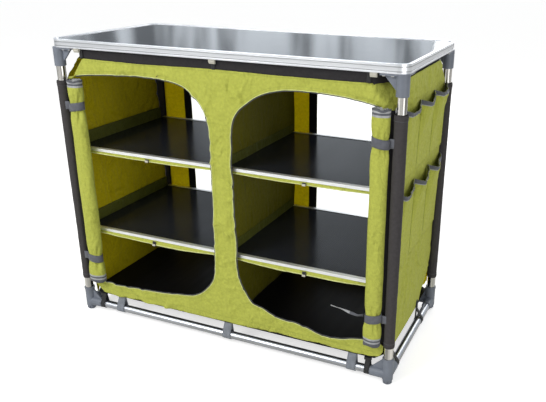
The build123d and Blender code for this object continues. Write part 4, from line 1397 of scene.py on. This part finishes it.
tooth = (0.0013, 0.0014, 0.0016)
edge_stitch = (0.0026, 0.0007, 0.0006)
zip_parts = []
for name, edge in (("left", left_edge), ("right", right_edge)):
    tape = along_mouth(edge, (-0.008, -0.004, 0.0, 0.0014, 0.0026), 0.0016)
    piping = along_mouth(edge, (-0.0014, -0.0004, 0.0006), -0.0007)
    teeth = [row[0] for row in along_mouth(edge, [0.0026], 0.0008)]
    seam = [row[0] for row in along_mouth(edge, [-0.0085], -0.0007)]
    zip_parts += [
        grid_cloth("zip_tape_" + name, tape, [dark_tape], 0.001),
        along_path("zip_teeth_" + name, teeth, 0.0022, tooth, zip_tape),
        grid_cloth("edge_piping_" + name, piping, [pale_thread], 0.0012),
        along_path("edge_stitch_" + name, seam, 0.0036, edge_stitch, lime_seam),
    ]
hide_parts("door_zip_tape")

# %% [markdown]
# Rows of stitches hold the hem, the header, the pockets' sides and the sleeves' ends.
# They are the same repeated boxes, each about as long as a real stitch.


# %% Rows of stitches
def stitches(name, line, material=lime_seam, closed=False):
    stitch_pitch, stitch = 0.0038, (0.0026, 0.0008, 0.0007)
    return along_path("stitch_" + name, line, stitch_pitch, stitch, material, closed)


seams = []
for name, z, ends in (("hem_front", 0.083, (-0.44, 0.44)), ("header_front", 0.7555, (-0.385, 0.40))):
    seams.append(stitches(name, [front_place(x, z) - y_axis * 0.0007 for x in np.linspace(*ends, 90)]))
for row, k, low, high in pocket_places:
    for end, u in (("front", 0.004), ("rear", 0.985)):
        line = [pocket_point(low, high, k, u, i / 20) + x_axis * 0.0009 for i in range(20)]
        seams.append(stitches("pocket_{}_{}_{}".format(row, k, end), line))
for corner, (sx, sy) in corners.items():
    for end, z in (("top", sleeve_high.z - hem_h), ("bottom", sleeve_low.z + hem_h)):
        centre = Vector((sx * leg_x, sy * leg_y, z))
        ring = ring_points(centre, x_axis, y_axis, sleeve_radius(z) + 0.0003, 0, 352, 45)
        seams.append(stitches("sleeve_{}_{}".format(corner, end), ring, grey_strap, True))
print("zip parts and seams:", len(zip_parts) + len(seams))

# %% [markdown]
# ## Every piece rides on the cabinet
#
# Only the feet move, and they are CAD nodes. All the pieces made here ride on the cabinet.

# %% Ride
made = [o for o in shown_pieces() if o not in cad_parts.values()]
for piece in made:
    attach(piece, "cabinet")
print("pieces made:", len(made), "triangles:", sum(len(o.data.polygons) for o in made) * 2)

# %% [markdown]

# %% [markdown]
# ## Floor and light
#
# The picture has a white ground. Here the floor and the world show white to the camera and in
# reflections only, so that they add little light of their own, and the floor keeps the shadow.
# The key light is large and high on the left front, so the front is bright and the right
# side stays in shade.


# %% Floor
def seen_only(tree):
    """1 for camera, glossy and transmission rays, otherwise 0."""
    rays = add_node(tree, "LightPath", {})
    total = rays.outputs["Is Camera Ray"]
    for kind in ("Is Glossy Ray", "Is Transmission Ray"):
        inputs = {0: total, 1: rays.outputs[kind]}
        total = add_node(tree, "Math", inputs, operation="MAXIMUM").outputs[0]
    return total


bpy.ops.mesh.primitive_plane_add(size=40, location=(0, 0, 0))
floor = bpy.context.object
floor.name = "floor"
pale, tree = new_finish("pale_floor", (0.80, 0.80, 0.79), 0.9, Emission_Color=(1, 1, 1, 1))
mirrored_ray = add_node(tree, "LightPath", {}).outputs["Is Glossy Ray"]
brightness = carry(tree, mirrored_ray, 0.0, 1.0, 0.62, 0.12)
glow = add_node(tree, "Math", {0: seen_only(tree), 1: brightness}, operation="MULTIPLY")
plug(tree, Emission_Strength=glow.outputs[0])
floor.data.materials.append(pale)
floor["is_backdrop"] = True

# %% [markdown]
# Shiny parts mirror what stands round them. In the picture that is a yard with dark and light
# upright shapes, so reflections near the horizon see soft upright bands instead of plain
# white, and the camera still sees white.

# %% World
world = bpy.data.worlds.new("studio")
bpy.context.scene.world = world
world.use_nodes = True
sky = world.node_tree


def blend_numbers(tree, share, first, second):
    inputs = {0: share, 2: first, 3: second}
    return add_node(tree, "Mix", inputs, data_type="FLOAT").outputs[0]


strength = carry(sky, seen_only(sky), 0.0, 1.0, 0.42, 1.0)
ways = coordinates(sky, "Generated")
height = add_node(sky, "SeparateXYZ", {0: ways}).outputs["Z"]
flat_ways = stretched(sky, ways, (1.0, 1.0, 0.12))
broad, narrow = clouds(sky, flat_ways, 3.2, 1.0), clouds(sky, flat_ways, 34.0, 2.0)
shapes = add_node(sky, "Math", {0: broad, 1: narrow}, operation="ADD").outputs[0]
yard = carry(sky, shapes, 0.86, 1.14, 0.2, 1.0, interpolation_type="SMOOTHSTEP")
mirrored = blend_numbers(sky, carry(sky, height, 0.35, 0.75, 0.0, 1.0), yard, 1.0)
glossy = add_node(sky, "LightPath", {}).outputs["Is Glossy Ray"]
background = sky.nodes["Background"].inputs
sky.links.new(blend_numbers(sky, glossy, strength, mirrored), background["Strength"])
sky.links.new(blend(sky, glossy, (1, 1, 1, 1), (0.86, 0.93, 1.0, 1)), background["Color"])


# %% Lamps
def soft_lamp(name, place, size, power):
    """A square lamp that looks at the cabinet's middle."""
    lamp = place_in_scene(name, bpy.data.lights.new(name, "AREA"))
    lamp.data.size = size
    lamp.data.energy = power
    lamp.location = place
    lamp.rotation_euler = (Vector((0, 0, 0.4)) - Vector(place)).to_track_quat("-Z", "Y").to_euler()


soft_lamp("key", (-1.6, -3.0, 2.6), 1.8, 88)
soft_lamp("fill", (2.6, -1.6, 0.7), 1.4, 13)
soft_lamp("behind", (0.6, 3.2, 1.6), 2.0, 40)
print("lamps:", len(bpy.data.lights))

# %% The object's bounds
low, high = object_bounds()
